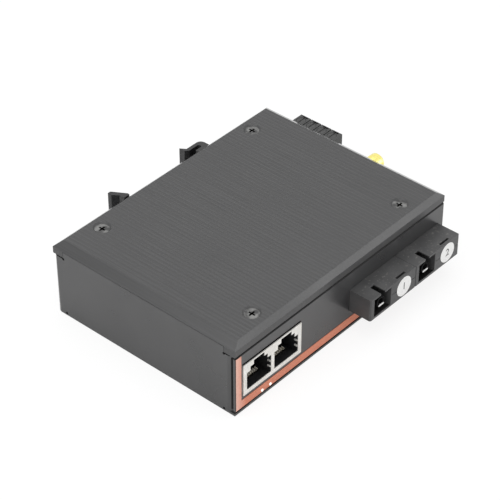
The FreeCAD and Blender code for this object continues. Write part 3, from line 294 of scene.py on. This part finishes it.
# %% [markdown]
# ## Masks
# A finish can change from place to place. A mask is a value that is 1 in one region and
# 0 elsewhere. It is worked out from where a point lies, or from where its face looks.

# %% Mask helpers
NOISE_LOW, NOISE_HIGH = 0.3, 0.7  # nearly all values of a noise lie between these two


def height(material, axis="Z"):
    """Where a point lies along one axis of the object, in metres."""
    tree = material.node_tree
    place = add_node(tree, "ShaderNodeTexCoord")
    axes = add_node(tree, "ShaderNodeSeparateXYZ")
    link(tree, place.outputs["Object"], axes.inputs["Vector"])
    return axes.outputs[axis]


def facing(material, axis="Z"):
    """How much a face looks along one axis: 1 straight along it, -1 straight away."""
    tree = material.node_tree
    surface = add_node(tree, "ShaderNodeNewGeometry")
    axes = add_node(tree, "ShaderNodeSeparateXYZ")
    link(tree, surface.outputs["Normal"], axes.inputs["Vector"])
    return axes.outputs[axis]


def between(material, value, low, high):
    """Is 1 while the value lies between low and high, and 0 elsewhere."""
    compare = add_node(material.node_tree, "ShaderNodeMath", operation="COMPARE")
    compare.inputs[1].default_value = (low + high) / 2
    compare.inputs[2].default_value = (high - low) / 2
    link(material.node_tree, value, compare.inputs[0])
    return compare.outputs[0]


def times(material, first, second):
    product = add_node(material.node_tree, "ShaderNodeMath", operation="MULTIPLY")
    link(material.node_tree, first, product.inputs[0])
    link(material.node_tree, second, product.inputs[1])
    return product.outputs[0]


def spread(material, value, low, high, from_low=NOISE_LOW, from_high=NOISE_HIGH):
    """The value, whose useful part runs from from_low to from_high, mapped to low..high."""
    ranged = add_node(material.node_tree, "ShaderNodeMapRange")
    ranged.inputs["From Min"].default_value = from_low
    ranged.inputs["From Max"].default_value = from_high
    ranged.inputs["To Min"].default_value = low
    ranged.inputs["To Max"].default_value = high
    link(material.node_tree, value, ranged.inputs["Value"])
    return ranged.outputs["Result"]


# %% [markdown]
# ## Colour, gloss and grain
# A coating looks smoother the flatter one looks along it, so its roughness falls at
# grazing angles. That is what makes a dark edge flash light against the ground.

# %% Finish helpers
GRAZING_GLOSS = 0.25
GRAZING_FROM, GRAZING_TO = 0.70, 0.82


def two_tones(material, value, first, second):
    """Mixes two colours by a value and sends them to the shader. A colour may be a link."""
    tree = material.node_tree
    mix = add_node(tree, "ShaderNodeMix", data_type="RGBA")
    for name, colour in (("A", first), ("B", second)):
        if isinstance(colour, tuple):
            mix.inputs[name].default_value = (*colour, 1)
        else:
            link(tree, colour, mix.inputs[name])
    link(tree, value, mix.inputs["Factor"])
    link(tree, mix.outputs["Result"], shader_of(material).inputs["Base Color"])
    return mix.outputs["Result"]


def patchy(material, noise, first, second):
    """Two colours in the soft patches of a noise."""
    return two_tones(material, spread(material, noise, 0.0, 1.0), first, second)


def vary_gloss(material, value, low, high, dull_where=None):
    """Roughness between low and high by a value, and fully dull where a mask is 1."""
    tree = material.node_tree
    tilt = add_node(tree, "ShaderNodeLayerWeight").outputs["Facing"]
    smoother = spread(material, tilt, 1.0, GRAZING_GLOSS, GRAZING_FROM, GRAZING_TO)
    rough = times(material, spread(material, value, low, high), smoother)
    if dull_where:
        duller = add_node(tree, "ShaderNodeMath", operation="MAXIMUM")
        link(tree, rough, duller.inputs[0])
        link(tree, dull_where, duller.inputs[1])
        rough = duller.outputs[0]
    link(tree, rough, shader_of(material).inputs["Roughness"])


def emboss(material, value, height_mm, strength):
    """Bends the light as if the value were a height in millimetres."""
    tree = material.node_tree
    bump = add_node(tree, "ShaderNodeBump")
    bump.inputs["Distance"].default_value = height_mm * MM
    bump.inputs["Strength"].default_value = strength
    link(tree, value, bump.inputs["Height"])
    link(tree, bump.outputs["Normal"], shader_of(material).inputs["Normal"])


def dress(material, *names):
    """Gives the finish to every slot of the named solids."""
    for name in names:
        mesh = nodes[name].data
        mesh.materials.clear()
        mesh.materials.append(material)
    print(material.name, "on", ", ".join(names))


# %% [markdown]
# ## The ribbed cover
# The cover is extruded aluminium under a thin black coating. The coating itself is almost
# black: the grey that the eye sees is the white studio in its gloss, so the colour stays dark
# here and the index of refraction carries the tone. Drawing the metal through its die leaves
# faint lines along the ribs, so the grain is stretched along Y. A narrow band at its lowest
# face is painted black and dull, as painted shade in the seam over the case.

# %% Cover finish
COATING_BLACK = (0.026, 0.026, 0.027)
COATING_WORN = (0.040, 0.040, 0.041)
# Black for painted shade in the seams, on the cover and on the case.
PAINTED_SEAM_SHADE = (0.002, 0.002, 0.002)
LIP_SHADE = 0.12 * MM

cover = new_finish("cover_coating", COATING_BLACK, roughness=0.4, ior=1.64)
cover_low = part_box("top_cover")[0][2]
drawn = grain(cover, size_mm=0.5, stretch=(1, 60, 1), detail=2.0)
coated = patchy(cover, drawn, COATING_BLACK, COATING_WORN)
# Painted shade: a black, dull band along the cover's lowest face, in the seam over the case.
seam_shade_band = between(cover, height(cover), cover_low - LIP_SHADE, cover_low + LIP_SHADE)
two_tones(cover, seam_shade_band, coated, PAINTED_SEAM_SHADE)
vary_gloss(cover, grain(cover, size_mm=26.0, detail=2.0), 0.36, 0.44, dull_where=seam_shade_band)
emboss(cover, drawn, height_mm=0.006, strength=0.4)
dress(cover, "top_cover")
soften_edges(["top_cover"], width_mm=0.10)

# %% [markdown]
# ## The painted case
# Tray and panels are folded steel with a satin stove enamel, as dark as the cover. Enamel flows
# before it hardens, which leaves a very low orange peel of about a millimetre. Two narrow gaps
# between the sheets are painted black as painted shade.

# %% Case finish
CASE_BLACK = (0.032, 0.032, 0.033)
CASE_WORN = (0.044, 0.044, 0.045)
SEAM_BELOW_LABEL = 0.05 * MM
SEAM_FADE = 0.05 * MM
GAP_FROM, GAP_TO = 0.9 * MM, 2.0 * MM
GAP_LOW = 1.9 * MM

label_low, label_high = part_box("front_label")


def stove_enamel(name, shade_of):
    """Enamel with painted shade, black and dull, where shade_of, given the finish, is 1."""
    enamel = new_finish(name, CASE_BLACK, roughness=0.3, ior=1.72)
    cloudy = grain(enamel, size_mm=18.0, detail=2.0)
    painted = patchy(enamel, cloudy, CASE_BLACK, CASE_WORN)
    shade = shade_of(enamel)
    two_tones(enamel, shade, painted, PAINTED_SEAM_SHADE)
    vary_gloss(enamel, cloudy, 0.26, 0.34, dull_where=shade)
    orange_peel = grain(enamel, size_mm=0.9, detail=2.0)
    emboss(enamel, orange_peel, height_mm=0.006, strength=0.4)
    return enamel


def under_the_cover(enamel):
    """Painted shade on the panel's top bend, in the seam under the cover."""
    seam_low = label_high[2] - SEAM_BELOW_LABEL
    return spread(enamel, height(enamel), 0.0, 1.0, seam_low, seam_low + SEAM_FADE)


def in_the_corner_gap(enamel):
    """Painted shade on the end of the tray's front corner bends, in the gap behind the panel's
    edge.
    """
    tray_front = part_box("base_tray")[0][1]
    deep = between(enamel, height(enamel, "Y"), tray_front + GAP_FROM, tray_front + GAP_TO)
    upright = between(enamel, height(enamel), GAP_LOW, label_high[2])
    return times(enamel, deep, upright)


# Painted shade: black, dull seams on the panels and on the tray.
dress(stove_enamel("panel_enamel", under_the_cover), "front_panel", "rear_panel")
dress(stove_enamel("tray_enamel", in_the_corner_gap), "base_tray")
soften_edges(["base_tray", "front_panel", "rear_panel"], width_mm=0.10)

# %% [markdown]
# ## The orange stripe
# An adhesive film frames the front on two sides. The print fades from a paler, pinker orange on
# the upright strip to deep orange along the foot. The film's faces that look to the left are a
# dark grey-green, with no print.

# %% Stripe finish
STRIPE_DEEP = (0.72, 0.25, 0.15)
STRIPE_PALE = (0.90, 0.52, 0.42)
LEFT_FACE_DARK = (0.05, 0.055, 0.045)
FADE_LENGTH = 5 * MM
LEFTWARD, HALF_LEFTWARD = -0.8, -0.4

stripe = new_finish("stripe_print", STRIPE_DEEP, roughness=0.5)
fade = spread(
    stripe, height(stripe, "X"), 1.0, 0.0, label_low[0], label_low[0] + FADE_LENGTH
)
printed = two_tones(stripe, fade, STRIPE_DEEP, STRIPE_PALE)
# The faces that look to the left are dark grey-green.
left_faces = spread(stripe, facing(stripe, "X"), 1.0, 0.0, LEFTWARD, HALF_LEFTWARD)
two_tones(stripe, left_faces, printed, LEFT_FACE_DARK)
emboss(stripe, grain(stripe, size_mm=0.25), height_mm=0.008, strength=0.4)
dress(stripe, "front_label")

# %% [markdown]
# ## The copper jack
# Its shield is thin plated sheet, so it is metal, but with a dull and slightly uneven
# plating. The moulding behind it is black, and the sixteen contacts are thinly gilt, so
# that they still look almost white where they bend into the light.

# %% Jack shield and moulding
PLATING = (0.86, 0.84, 0.80)
PLATING_DULL = (0.80, 0.785, 0.74)
PLATING_BRIGHT = (0.92, 0.905, 0.87)

plating = new_finish("shield_plating", PLATING, roughness=0.38, metallic=0.5)
stain = grain(plating, size_mm=3.0, detail=4.0)
patchy(plating, stain, PLATING_DULL, PLATING_BRIGHT)
vary_gloss(plating, stain, 0.32, 0.46)
emboss(plating, grain(plating, size_mm=0.3, stretch=(8, 1, 1)), height_mm=0.004, strength=0.5)
dress(plating, "jack_shield")
soften_edges(["jack_shield"], width_mm=0.06)

black = new_finish("black_moulding", (0.010, 0.010, 0.011), roughness=0.5)
patchy(black, grain(black, size_mm=4.0), (0.008, 0.008, 0.009), (0.016, 0.016, 0.017))
emboss(black, grain(black, size_mm=0.12), height_mm=0.01, strength=0.6)
dress(black, "jack_housing")

# %% [markdown]
# ## The contacts, and a deep shadow
# The gilt contacts keep their colour only in a band from 0.7 to 2 mm behind their front, and
# are painted near black elsewhere, as painted shade in the port. The shadow finish is painted
# shade too: a black that returns almost no light. It is for the gap above the jack and for
# slots too narrow to see into.

# %% Contact and shadow finishes
GILT = (0.95, 0.90, 0.78)
GILT_DEEP = (0.92, 0.84, 0.66)
GILT_PALE = (0.98, 0.95, 0.88)
CONTACT_SHADE = (0.012, 0.011, 0.009)
LIT_FROM, LIT_TO = 0.7 * MM, 2.0 * MM

gilt = new_finish("gilt_contact", GILT, roughness=0.3, metallic=0.2)
wipe = grain(gilt, size_mm=0.4, stretch=(1, 10, 1))
wiped = patchy(gilt, wipe, GILT_DEEP, GILT_PALE)
contact_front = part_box("jack_contacts_1")[0][1]
# Painted shade: outside this band the contacts are near black.
lit_band = between(
    gilt, height(gilt, "Y"), contact_front + LIT_FROM, contact_front + LIT_TO
)
two_tones(gilt, lit_band, CONTACT_SHADE, wiped)
vary_gloss(gilt, wipe, 0.25, 0.4)
dress(gilt, "jack_contacts_1", "jack_contacts_2", "plug_strips")

shadow = new_finish("painted_shadow", (0.002, 0.002, 0.002), roughness=0.9, ior=1.05)
patchy(shadow, grain(shadow, size_mm=0.2), (0.001, 0.001, 0.001), (0.004, 0.004, 0.004))

# %% [markdown]
# ## The fibre modules
# Their shells are moulded in a dark resin from a finely sparked mould. Fine pale dust sticks to
# it, which shows as small light specks on the top faces. The mouth round each sleeve is painted
# black, as painted shade inside the port.

# %% Module finish
MODULE_DARK = (0.056, 0.056, 0.057)
MODULE_LIGHT = (0.082, 0.082, 0.083)
MODULE_DUST = (0.20, 0.195, 0.185)
DUST_AMOUNT = 0.8
DUST_FROM, DUST_TO = 0.60, 0.74
HALF_UPWARD, UPWARD = 0.5, 0.9
MOUTH_SHADE = (0.004, 0.004, 0.004)
MOUTH_MARGIN = 2.0 * MM
MOUTH_LIP = 0.8 * MM

resin = new_finish("module_resin", MODULE_DARK, roughness=0.45)
tone = patchy(resin, grain(resin, size_mm=6.0), MODULE_DARK, MODULE_LIGHT)
specks = spread(resin, grain(resin, size_mm=1.1), 0.0, DUST_AMOUNT, DUST_FROM, DUST_TO)
top_faces = spread(resin, facing(resin), 0.0, 1.0, HALF_UPWARD, UPWARD)
tone = two_tones(resin, times(resin, specks, top_faces), tone, MODULE_DUST)
for number in (1, 2):
    low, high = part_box(f"fibre_sleeve_{number}")
    # Painted shade: the inside of each port's mouth is black.
    mouth_shade_area = times(
        resin,
        between(resin, height(resin, "X"), low[0] - MOUTH_MARGIN, high[0] + MOUTH_MARGIN),
        between(resin, height(resin, "Z"), low[2] - MOUTH_MARGIN, high[2] + MOUTH_MARGIN),
    )
    deep = between(resin, height(resin, "Y"), low[1] - MOUTH_LIP, high[1])
    tone = two_tones(resin, times(resin, mouth_shade_area, deep), tone, MOUTH_SHADE)
vary_gloss(resin, grain(resin, size_mm=9.0), 0.4, 0.55)
emboss(resin, grain(resin, size_mm=0.15), height_mm=0.010, strength=0.5)
shells = ["fibre_shell_1", "fibre_shell_2"]
dress(resin, *shells)
soften_edges(shells, width_mm=0.12)

# %% [markdown]
# ## Sleeves and stickers
# Each module holds the plug of a fibre in a round sleeve. It is painted dark as painted shade,
# like the mouth it stands in, and a pale bar on its lower lip is a painted highlight. The bar
# is one of the small pieces further down. The sticker beside the mouth is matt white paper.

# %% Sleeve and sticker finishes
SLEEVE_SHADE = (0.006, 0.006, 0.006)
SLEEVE_SHADE_PATCH = (0.012, 0.012, 0.013)
PAPER = (0.93, 0.93, 0.92)
PAPER_DULL = (0.91, 0.91, 0.90)
PAPER_BRIGHT = (0.95, 0.95, 0.94)

# Painted shade: the sleeve is near black, as it stands in its shaded mouth.
sleeve = new_finish("sleeve_resin", SLEEVE_SHADE, roughness=0.6, ior=1.1)
patchy(sleeve, grain(sleeve, size_mm=1.0), SLEEVE_SHADE, SLEEVE_SHADE_PATCH)
emboss(sleeve, grain(sleeve, size_mm=0.4), height_mm=0.004, strength=0.4)
dress(sleeve, "fibre_sleeve_1", "fibre_sleeve_2")

sticker = new_finish("sticker_paper", PAPER, roughness=0.7)
patchy(sticker, grain(sticker, size_mm=0.4), PAPER_DULL, PAPER_BRIGHT)
emboss(sticker, grain(sticker, size_mm=0.2), height_mm=0.01, strength=0.4)
dress(sticker, "port_sticker_1", "port_sticker_2")

# %% [markdown]
# ## The cover screws
# They are blackened steel with wear round the cross, and the cross itself is painted black as
# painted shade in its recess.

# %% Screw finish
SCREW_DARK = (0.09, 0.09, 0.09)
SCREW_WORN = (0.25, 0.25, 0.245)
WORN_FROM, WORN_TO = 0.42, 0.62
CROSS_SHADE = (0.004, 0.004, 0.004)
CROSS_DEPTH = 0.25 * MM

blacked = new_finish("blackened_steel", SCREW_DARK, roughness=0.35, metallic=0.85)
worn = grain(blacked, size_mm=2.2, detail=2.0)
wear = spread(blacked, worn, 0.0, 1.0, WORN_FROM, WORN_TO)
faces = two_tones(blacked, wear, SCREW_DARK, SCREW_WORN)
cross_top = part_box("cover_screws")[1][2] - CROSS_DEPTH
# Painted shade: the cross recess is black.
cross_shade = spread(blacked, height(blacked), 1.0, 0.0, cross_top - CROSS_DEPTH, cross_top)
two_tones(blacked, cross_shade, faces, CROSS_SHADE)
vary_gloss(blacked, worn, 0.3, 0.5)
dress(blacked, "cover_screws")
soften_edges(["cover_screws"], width_mm=0.06)

# %% [markdown]
# ## Zinc, laminate and chips
# The small metal parts inside are zinc-plated, which is a pale, faintly mottled metal.
# The board is green laminate, seen only through the ports, with dull black packages.

# %% Inner finishes
ZINC = (0.60, 0.60, 0.61)
ZINC_DULL = (0.52, 0.52, 0.53)
ZINC_BRIGHT = (0.68, 0.68, 0.68)

zinc = new_finish("zinc_plate", ZINC, roughness=0.35, metallic=0.9)
mottle = grain(zinc, size_mm=1.5, detail=4.0)
patchy(zinc, mottle, ZINC_DULL, ZINC_BRIGHT)
vary_gloss(zinc, mottle, 0.28, 0.42)
clamps = [f"terminal_clamp_{number}" for number in range(1, 5)]
clamp_screws = [f"terminal_screw_{number}" for number in range(1, 5)]
dress(
    zinc, "cover_nuts", "board_standoffs", "board_screws", "clock_crystal",
    "supply_capacitors", "fibre_pins", "header_pins", "clip_screws", "clip_nuts",
    "latch_spring", *clamps, *clamp_screws,
)

laminate = new_finish("board_laminate", (0.02, 0.10, 0.05), roughness=0.4)
patchy(laminate, grain(laminate, size_mm=1.2), (0.018, 0.09, 0.045), (0.03, 0.13, 0.07))
dress(laminate, "circuit_board")

package = new_finish("package_resin", (0.02, 0.02, 0.022), roughness=0.6)
patchy(package, grain(package, size_mm=0.8), (0.018, 0.018, 0.02), (0.035, 0.035, 0.037))
dress(package, "line_transformers", "switch_chip", "power_inductor")

# %% [markdown]
# ## Indicator lamps
# The two lenses on the front are clear resin. They glow a little, and that glow is painted
# light.

# %% Lamp finish
LENS_WHITE = (0.95, 0.94, 0.90)
LENS_DULL = (0.93, 0.92, 0.88)
LENS_BRIGHT = (0.97, 0.96, 0.93)
LENS_GLOW_COLOUR = (1, 0.96, 0.9, 1)
LENS_PAINTED_GLOW = 0.6

lens = new_finish("lamp_lens", LENS_WHITE, roughness=0.2)
patchy(lens, grain(lens, size_mm=0.5), LENS_DULL, LENS_BRIGHT)
# Painted light: a faint glow on the lenses.
shader_of(lens).inputs["Emission Color"].default_value = LENS_GLOW_COLOUR
shader_of(lens).inputs["Emission Strength"].default_value = LENS_PAINTED_GLOW
dress(lens, "indicator_lamps")

# %% [markdown]
# ## Clip, terminal and earth post
# The terminal and the clip are black nylon from two different mouldings. The earth post
# is turned brass, with its lines round the axis.

# %% Remaining finishes
BRASS = (0.98, 0.86, 0.26)
BRASS_DEEP = (0.95, 0.80, 0.20)
BRASS_PALE = (1.0, 0.93, 0.34)

nylon = new_finish("clip_nylon", (0.024, 0.024, 0.025), roughness=0.38)
patchy(nylon, grain(nylon, size_mm=5.0), (0.018, 0.018, 0.019), (0.034, 0.034, 0.035))
emboss(nylon, grain(nylon, size_mm=0.2), height_mm=0.008, strength=0.4)
clip_parts = ["din_clip_body", "din_latch"]
dress(nylon, *clip_parts)
soften_edges(clip_parts, width_mm=0.12)

terminal = new_finish("terminal_resin", (0.045, 0.046, 0.046), roughness=0.4)
patchy(terminal, grain(terminal, size_mm=5.0), (0.040, 0.041, 0.041), (0.060, 0.061, 0.061))
emboss(terminal, grain(terminal, size_mm=0.18), height_mm=0.01, strength=0.5)
terminal_parts = ["terminal_header", "terminal_plug"]
dress(terminal, *terminal_parts)
soften_edges(terminal_parts, width_mm=0.12)

brass = new_finish("turned_brass", BRASS, roughness=0.22, metallic=0.85)
turned = grain(brass, size_mm=0.3, stretch=(1, 8, 8))
patchy(brass, turned, BRASS_DEEP, BRASS_PALE)
vary_gloss(brass, turned, 0.18, 0.32)
dress(brass, "earth_stud", "earth_nut", "earth_thumb_nut")
soften_edges(["earth_stud", "earth_thumb_nut"], width_mm=0.15)
print("all solids dressed")

# %% [markdown]
# ## Small pieces the solids leave out
# A few thin things are easier to make here than in CAD. Each is a mesh that starts as a
# flat outline and is given a thickness, like a stamping. Outlines run counterclockwise.
# A circle or a half circle is worked out from its radius.

# %% Mesh helpers
def arc(centre, radius, start, stop, steps):
    """Points along an arc, from one angle in degrees to another."""
    turns = [math.radians(start + (stop - start) * step / steps) for step in range(steps + 1)]
    return [(centre[0] + radius * math.cos(t), centre[1] + radius * math.sin(t)) for t in turns]


def circle(centre, radius, corners):
    return arc(centre, radius, 0, 360 - 360 / corners, corners - 1)


def rectangle(low_x, high_x, low_y, high_y):
    return [(low_x, low_y), (high_x, low_y), (high_x, high_y), (low_x, high_y)]


def stamp(outline, low, high, along="Z"):
    """The corners and faces of an outline that is given a thickness along Z, or along Y."""
    count = len(outline)
    if along == "Y":
        corners = [(x, level, y) for level in (high, low) for x, y in outline]
    else:
        corners = [(x, y, level) for level in (low, high) for x, y in outline]
    faces = [tuple(reversed(range(count))), tuple(range(count, 2 * count))]
    for index in range(count):
        after = (index + 1) % count
        faces.append((index, after, count + after, count + index))
    return corners, faces


# %% [markdown]
# ## From outlines to a piece
# One piece may have several stampings. It rides on one body of the frame, so it moves
# with that body, and it names the material slot that it belongs to.

# %% Piece helper
def build(name, parts, material, body, edge_mm=0.0):
    """One object from several stamped parts, which rides on a body."""
    corners, faces = [], []
    for part_corners, part_faces in parts:
        start = len(corners)
        corners += part_corners
        faces += [tuple(start + index for index in face) for face in part_faces]
    mesh = bpy.data.meshes.new(name)
    mesh.from_pydata(corners, [], faces)
    mesh.materials.append(material)
    piece = bpy.data.objects.new(name, mesh)
    bpy.context.scene.collection.objects.link(piece)
    if edge_mm:
        bevel = piece.modifiers.new("edge_bevel", "BEVEL")
        bevel.width = edge_mm * MM
        bevel.segments = BEVEL_STEPS
        bevel.limit_method = "ANGLE"
    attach(piece, body)
    return piece


# %% [markdown]
# ## The clamp screws
# The photograph shows no deep wells in the top of the plug, so on the real plug the screw
# heads stand just under its face. Each head here is a turned cylinder with a slot across
# it. It stands for the frame's screw, on the same axis, and turns with the same joint.

# %% Taller screw heads
HEAD_BLACK = (0.05, 0.05, 0.05)
HEAD_DARK = (0.04, 0.04, 0.04)
HEAD_RUBBED = (0.07, 0.07, 0.07)
HEAD_SINK = 0.06 * MM
HEAD_HEIGHT = 1.4 * MM
HEAD_CORNERS = 24
SHANK_SHARE = 0.69
SLOT_HALF = 0.30 * MM
SLOT_DEPTH = 0.25 * MM

head_black = new_finish("clamp_screw_black", HEAD_BLACK, roughness=0.4)
patchy(head_black, grain(head_black, size_mm=0.8), HEAD_DARK, HEAD_RUBBED)

plug_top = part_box("terminal_plug")[1][2]
crown = plug_top - HEAD_SINK
slot_floor = crown - SLOT_DEPTH
for number in range(1, 5):
    low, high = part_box(f"terminal_screw_{number}")
    centre = ((low[0] + high[0]) / 2, (low[1] + high[1]) / 2)
    radius = (high[0] - low[0]) / 2
    shoulder = high[2] - HEAD_HEIGHT
    lean = math.degrees(math.asin(SLOT_HALF / radius))
    rear_half = arc(centre, radius, lean, 180 - lean, HEAD_CORNERS // 2)
    front_half = arc(centre, radius, 180 + lean, 360 - lean, HEAD_CORNERS // 2)
    parts = [
        stamp(circle(centre, radius * SHANK_SHARE, HEAD_CORNERS), low[2], shoulder),
        stamp(circle(centre, radius, HEAD_CORNERS), shoulder, slot_floor),
        stamp(rear_half, slot_floor, crown),
        stamp(front_half, slot_floor, crown),
    ]
    screw = build(
        f"clamp_screw_{number}", parts, head_black, f"screw_{number}", edge_mm=0.05
    )
    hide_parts(f"terminal_screw_{number}")
print("four clamp screws, heads", round(HEAD_SINK / MM, 2), "mm under the plug's face")

# %% [markdown]
# ## The latch spring
# The imported spring is rigid, so it would stay long while the latch is pulled open over it.
# This one is the same folded strip, built between the ends of the imported one. It rides on the
# case, with its end at the clip's peg.

# %% Folded strip spring
STRIP_FOLDS = 6
STRIP_GAUGE = 0.35 * MM

low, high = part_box("latch_spring")
spring_length = high[0] - low[0]
spring_width = high[2] - low[2]
pitch = (spring_length - STRIP_GAUGE) / STRIP_FOLDS
crotch_z = high[2] - spring_width * STRIP_GAUGE / pitch
valley_z = low[2] + spring_width * STRIP_GAUGE / pitch
lower, upper = [], []
for fold in range(STRIP_FOLDS):
    start = low[0] + fold * pitch
    peak = start + pitch / 2
    lower += [
        (start, low[2]),
        (start + STRIP_GAUGE, low[2]),
        (start + (pitch + STRIP_GAUGE) / 2, crotch_z),
    ]
    if fold:
        upper.append((start + STRIP_GAUGE / 2, valley_z))
    upper += [(peak, high[2]), (peak + STRIP_GAUGE, high[2])]
lower += [(high[0] - STRIP_GAUGE, low[2]), (high[0], low[2])]
strip = stamp(lower + upper[::-1], low[1], high[1], along="Y")
spring = build("folded_spring", [strip], zinc, "case")
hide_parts("latch_spring")
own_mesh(spring)
print("spring", round(spring_length / MM, 2), "mm long,", STRIP_FOLDS, "folds")

# %% [markdown]
# ## Release slots on the plug
# Along its outer edge the plug has one thin slot for each wire. They are far too narrow to see
# into, so the shade in each is painted as a black inlay that stands a hair above the face.

# %% Release slots
SLOT_LENGTH = 2.3 * MM
SLOT_WIDTH = 0.60 * MM
SLOT_FROM_EDGE = 0.45 * MM
INLAY_PROUD = 0.02 * MM
INLAY_DEPTH = 0.10 * MM

high_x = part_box("terminal_plug")[1][0] - SLOT_FROM_EDGE
parts = []
for number in range(1, 5):
    low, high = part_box(f"terminal_screw_{number}")
    y = (low[1] + high[1]) / 2
    outline = rectangle(high_x - SLOT_WIDTH, high_x, y - SLOT_LENGTH / 2, y + SLOT_LENGTH / 2)
    # Painted shade: a black inlay for the shade inside each slot.
    parts.append(stamp(outline, plug_top - INLAY_DEPTH, plug_top + INLAY_PROUD))
build("release_slot_shade", parts, shadow, "plug")
print(len(parts), "release slots")

# %% [markdown]
# ## Painted highlights on the sleeves
# A short pale bar with round ends lies on the lower lip of each sleeve. It is a painted
# highlight for the light that falls on that lip, and shows as a light dash in the dark mouth.

# %% Sleeve highlights
HIGHLIGHT_WHITE = (0.93, 0.93, 0.92)
HIGHLIGHT_DULL = (0.90, 0.90, 0.89)
HIGHLIGHT_BRIGHT = (0.95, 0.95, 0.94)
HIGHLIGHT_HALF = 1.15 * MM
HIGHLIGHT_RADIUS = 0.36 * MM
HIGHLIGHT_ABOVE = 0.62 * MM
HIGHLIGHT_PROUD = 0.12 * MM
HIGHLIGHT_SHIFT = 0.3 * MM
HIGHLIGHT_STEPS = 8

# Painted highlight: a pale bar for the light on each sleeve's lower lip.
highlight = new_finish("painted_highlight", HIGHLIGHT_WHITE, roughness=0.35)
patchy(highlight, grain(highlight, size_mm=0.6), HIGHLIGHT_DULL, HIGHLIGHT_BRIGHT)
for number in (1, 2):
    low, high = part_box(f"fibre_sleeve_{number}")
    middle = (low[0] + high[0]) / 2 + HIGHLIGHT_SHIFT
    z = low[2] + HIGHLIGHT_ABOVE
    outline = arc((middle + HIGHLIGHT_HALF, z), HIGHLIGHT_RADIUS, -90, 90, HIGHLIGHT_STEPS)
    outline += arc((middle - HIGHLIGHT_HALF, z), HIGHLIGHT_RADIUS, 90, 270, HIGHLIGHT_STEPS)
    bar = stamp(outline, low[1] - HIGHLIGHT_PROUD, low[1] + HIGHLIGHT_PROUD, along="Y")
    build(f"sleeve_highlight_{number}", [bar], highlight, "case")
print("two sleeve guides")

# %% [markdown]
# ## Numbers on the stickers
# A plain number on each module's round sticker tells the two ports apart. Blender's own
# font gives the outline, which becomes a mesh as thin as a layer of ink. Its faces come
# apart from its sides, so a weld closes them.

# %% Port numbers
INK = (0.03, 0.03, 0.032)
INK_WORN = (0.06, 0.06, 0.062)
INK_HALF = 0.01 * MM  # a curve is thickened by this much on both sides
NUMBER_HEIGHT = 4.4 * MM

ink = new_finish("number_ink", INK, roughness=0.5)
patchy(ink, grain(ink, size_mm=0.3), INK, INK_WORN)
upright = Matrix.Rotation(math.radians(90), 4, "X")

for number in (1, 2):
    low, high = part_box(f"port_sticker_{number}")
    curve = bpy.data.curves.new(f"number_{number}", "FONT")
    curve.body = str(number)
    curve.size = NUMBER_HEIGHT
    curve.extrude = INK_HALF
    curve.align_x, curve.align_y = "CENTER", "CENTER"
    sketch = bpy.data.objects.new(f"number_sketch_{number}", curve)
    mesh = bpy.data.meshes.new_from_object(sketch)
    bpy.data.objects.remove(sketch)
    centre = Vector(((low[0] + high[0]) / 2, low[1] - INK_HALF / 2, (low[2] + high[2]) / 2))
    mesh.transform(Matrix.Translation(centre) @ upright)
    mesh.materials.clear()
    mesh.materials.append(ink)
    piece = bpy.data.objects.new(f"port_number_{number}", mesh)
    bpy.context.scene.collection.objects.link(piece)
    piece.modifiers.new("closed_outline", "WELD").merge_threshold = WELD_REACH
    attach(piece, "case")
print("numbers 1 and 2")

# %% [markdown]
# ## Spring tabs in the copper ports
# The shield has two small tabs bent in at the right wall of each port, which ground the
# plug of a cable. They show as bright teeth beside the dark opening.

# %% Shield tabs
TAB_REACH = 0.35 * MM
TAB_TIP_SHARE = 0.6
TAB_HEIGHT = 0.7 * MM
TAB_DEPTH = 1.2 * MM
TAB_PLACES = (2.2 * MM, 4.6 * MM)  # above the contacts
CONTACTS_TO_WALL = 2.05 * MM

shield_low, shield_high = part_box("jack_shield")
front = shield_low[1]
parts = []
for port in (1, 2):
    low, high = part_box(f"jack_contacts_{port}")
    wall = high[0] + CONTACTS_TO_WALL
    outline = [
        (wall, front),
        (wall, front + TAB_DEPTH),
        (wall - TAB_REACH, front + TAB_DEPTH),
        (wall - TAB_REACH * TAB_TIP_SHARE, front),
    ]
    for place in TAB_PLACES:
        tab_low = low[2] + place
        parts.append(stamp(outline, tab_low, tab_low + TAB_HEIGHT))
build("shield_tabs", parts, plating, "case")
print(len(parts), "shield tabs")

# %% [markdown]
# ## The gap above the jack
# The jack doesn't fill its cut-out. A black strip in the gap above it is painted shade, and
# draws a dark line along the top of the bright shield.

# %% Painted shade above the jack
SHADE_ABOVE_SHIELD = 0.02 * MM
SHADE_STRIP_HEIGHT = 0.50 * MM
SHADE_STRIP_PROUD = 0.12 * MM

panel_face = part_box("front_panel")[0][1]
outline = rectangle(
    shield_low[0], shield_high[0], panel_face - SHADE_STRIP_PROUD, panel_face + SHADE_STRIP_PROUD
)
# Painted shade: a black strip for the shade in the gap above the jack.
strip = stamp(outline, shield_high[2] + SHADE_ABOVE_SHIELD, shield_high[2] + SHADE_STRIP_HEIGHT)
build("jack_gap_shade", [strip], shadow, "case")
print("foam strip")
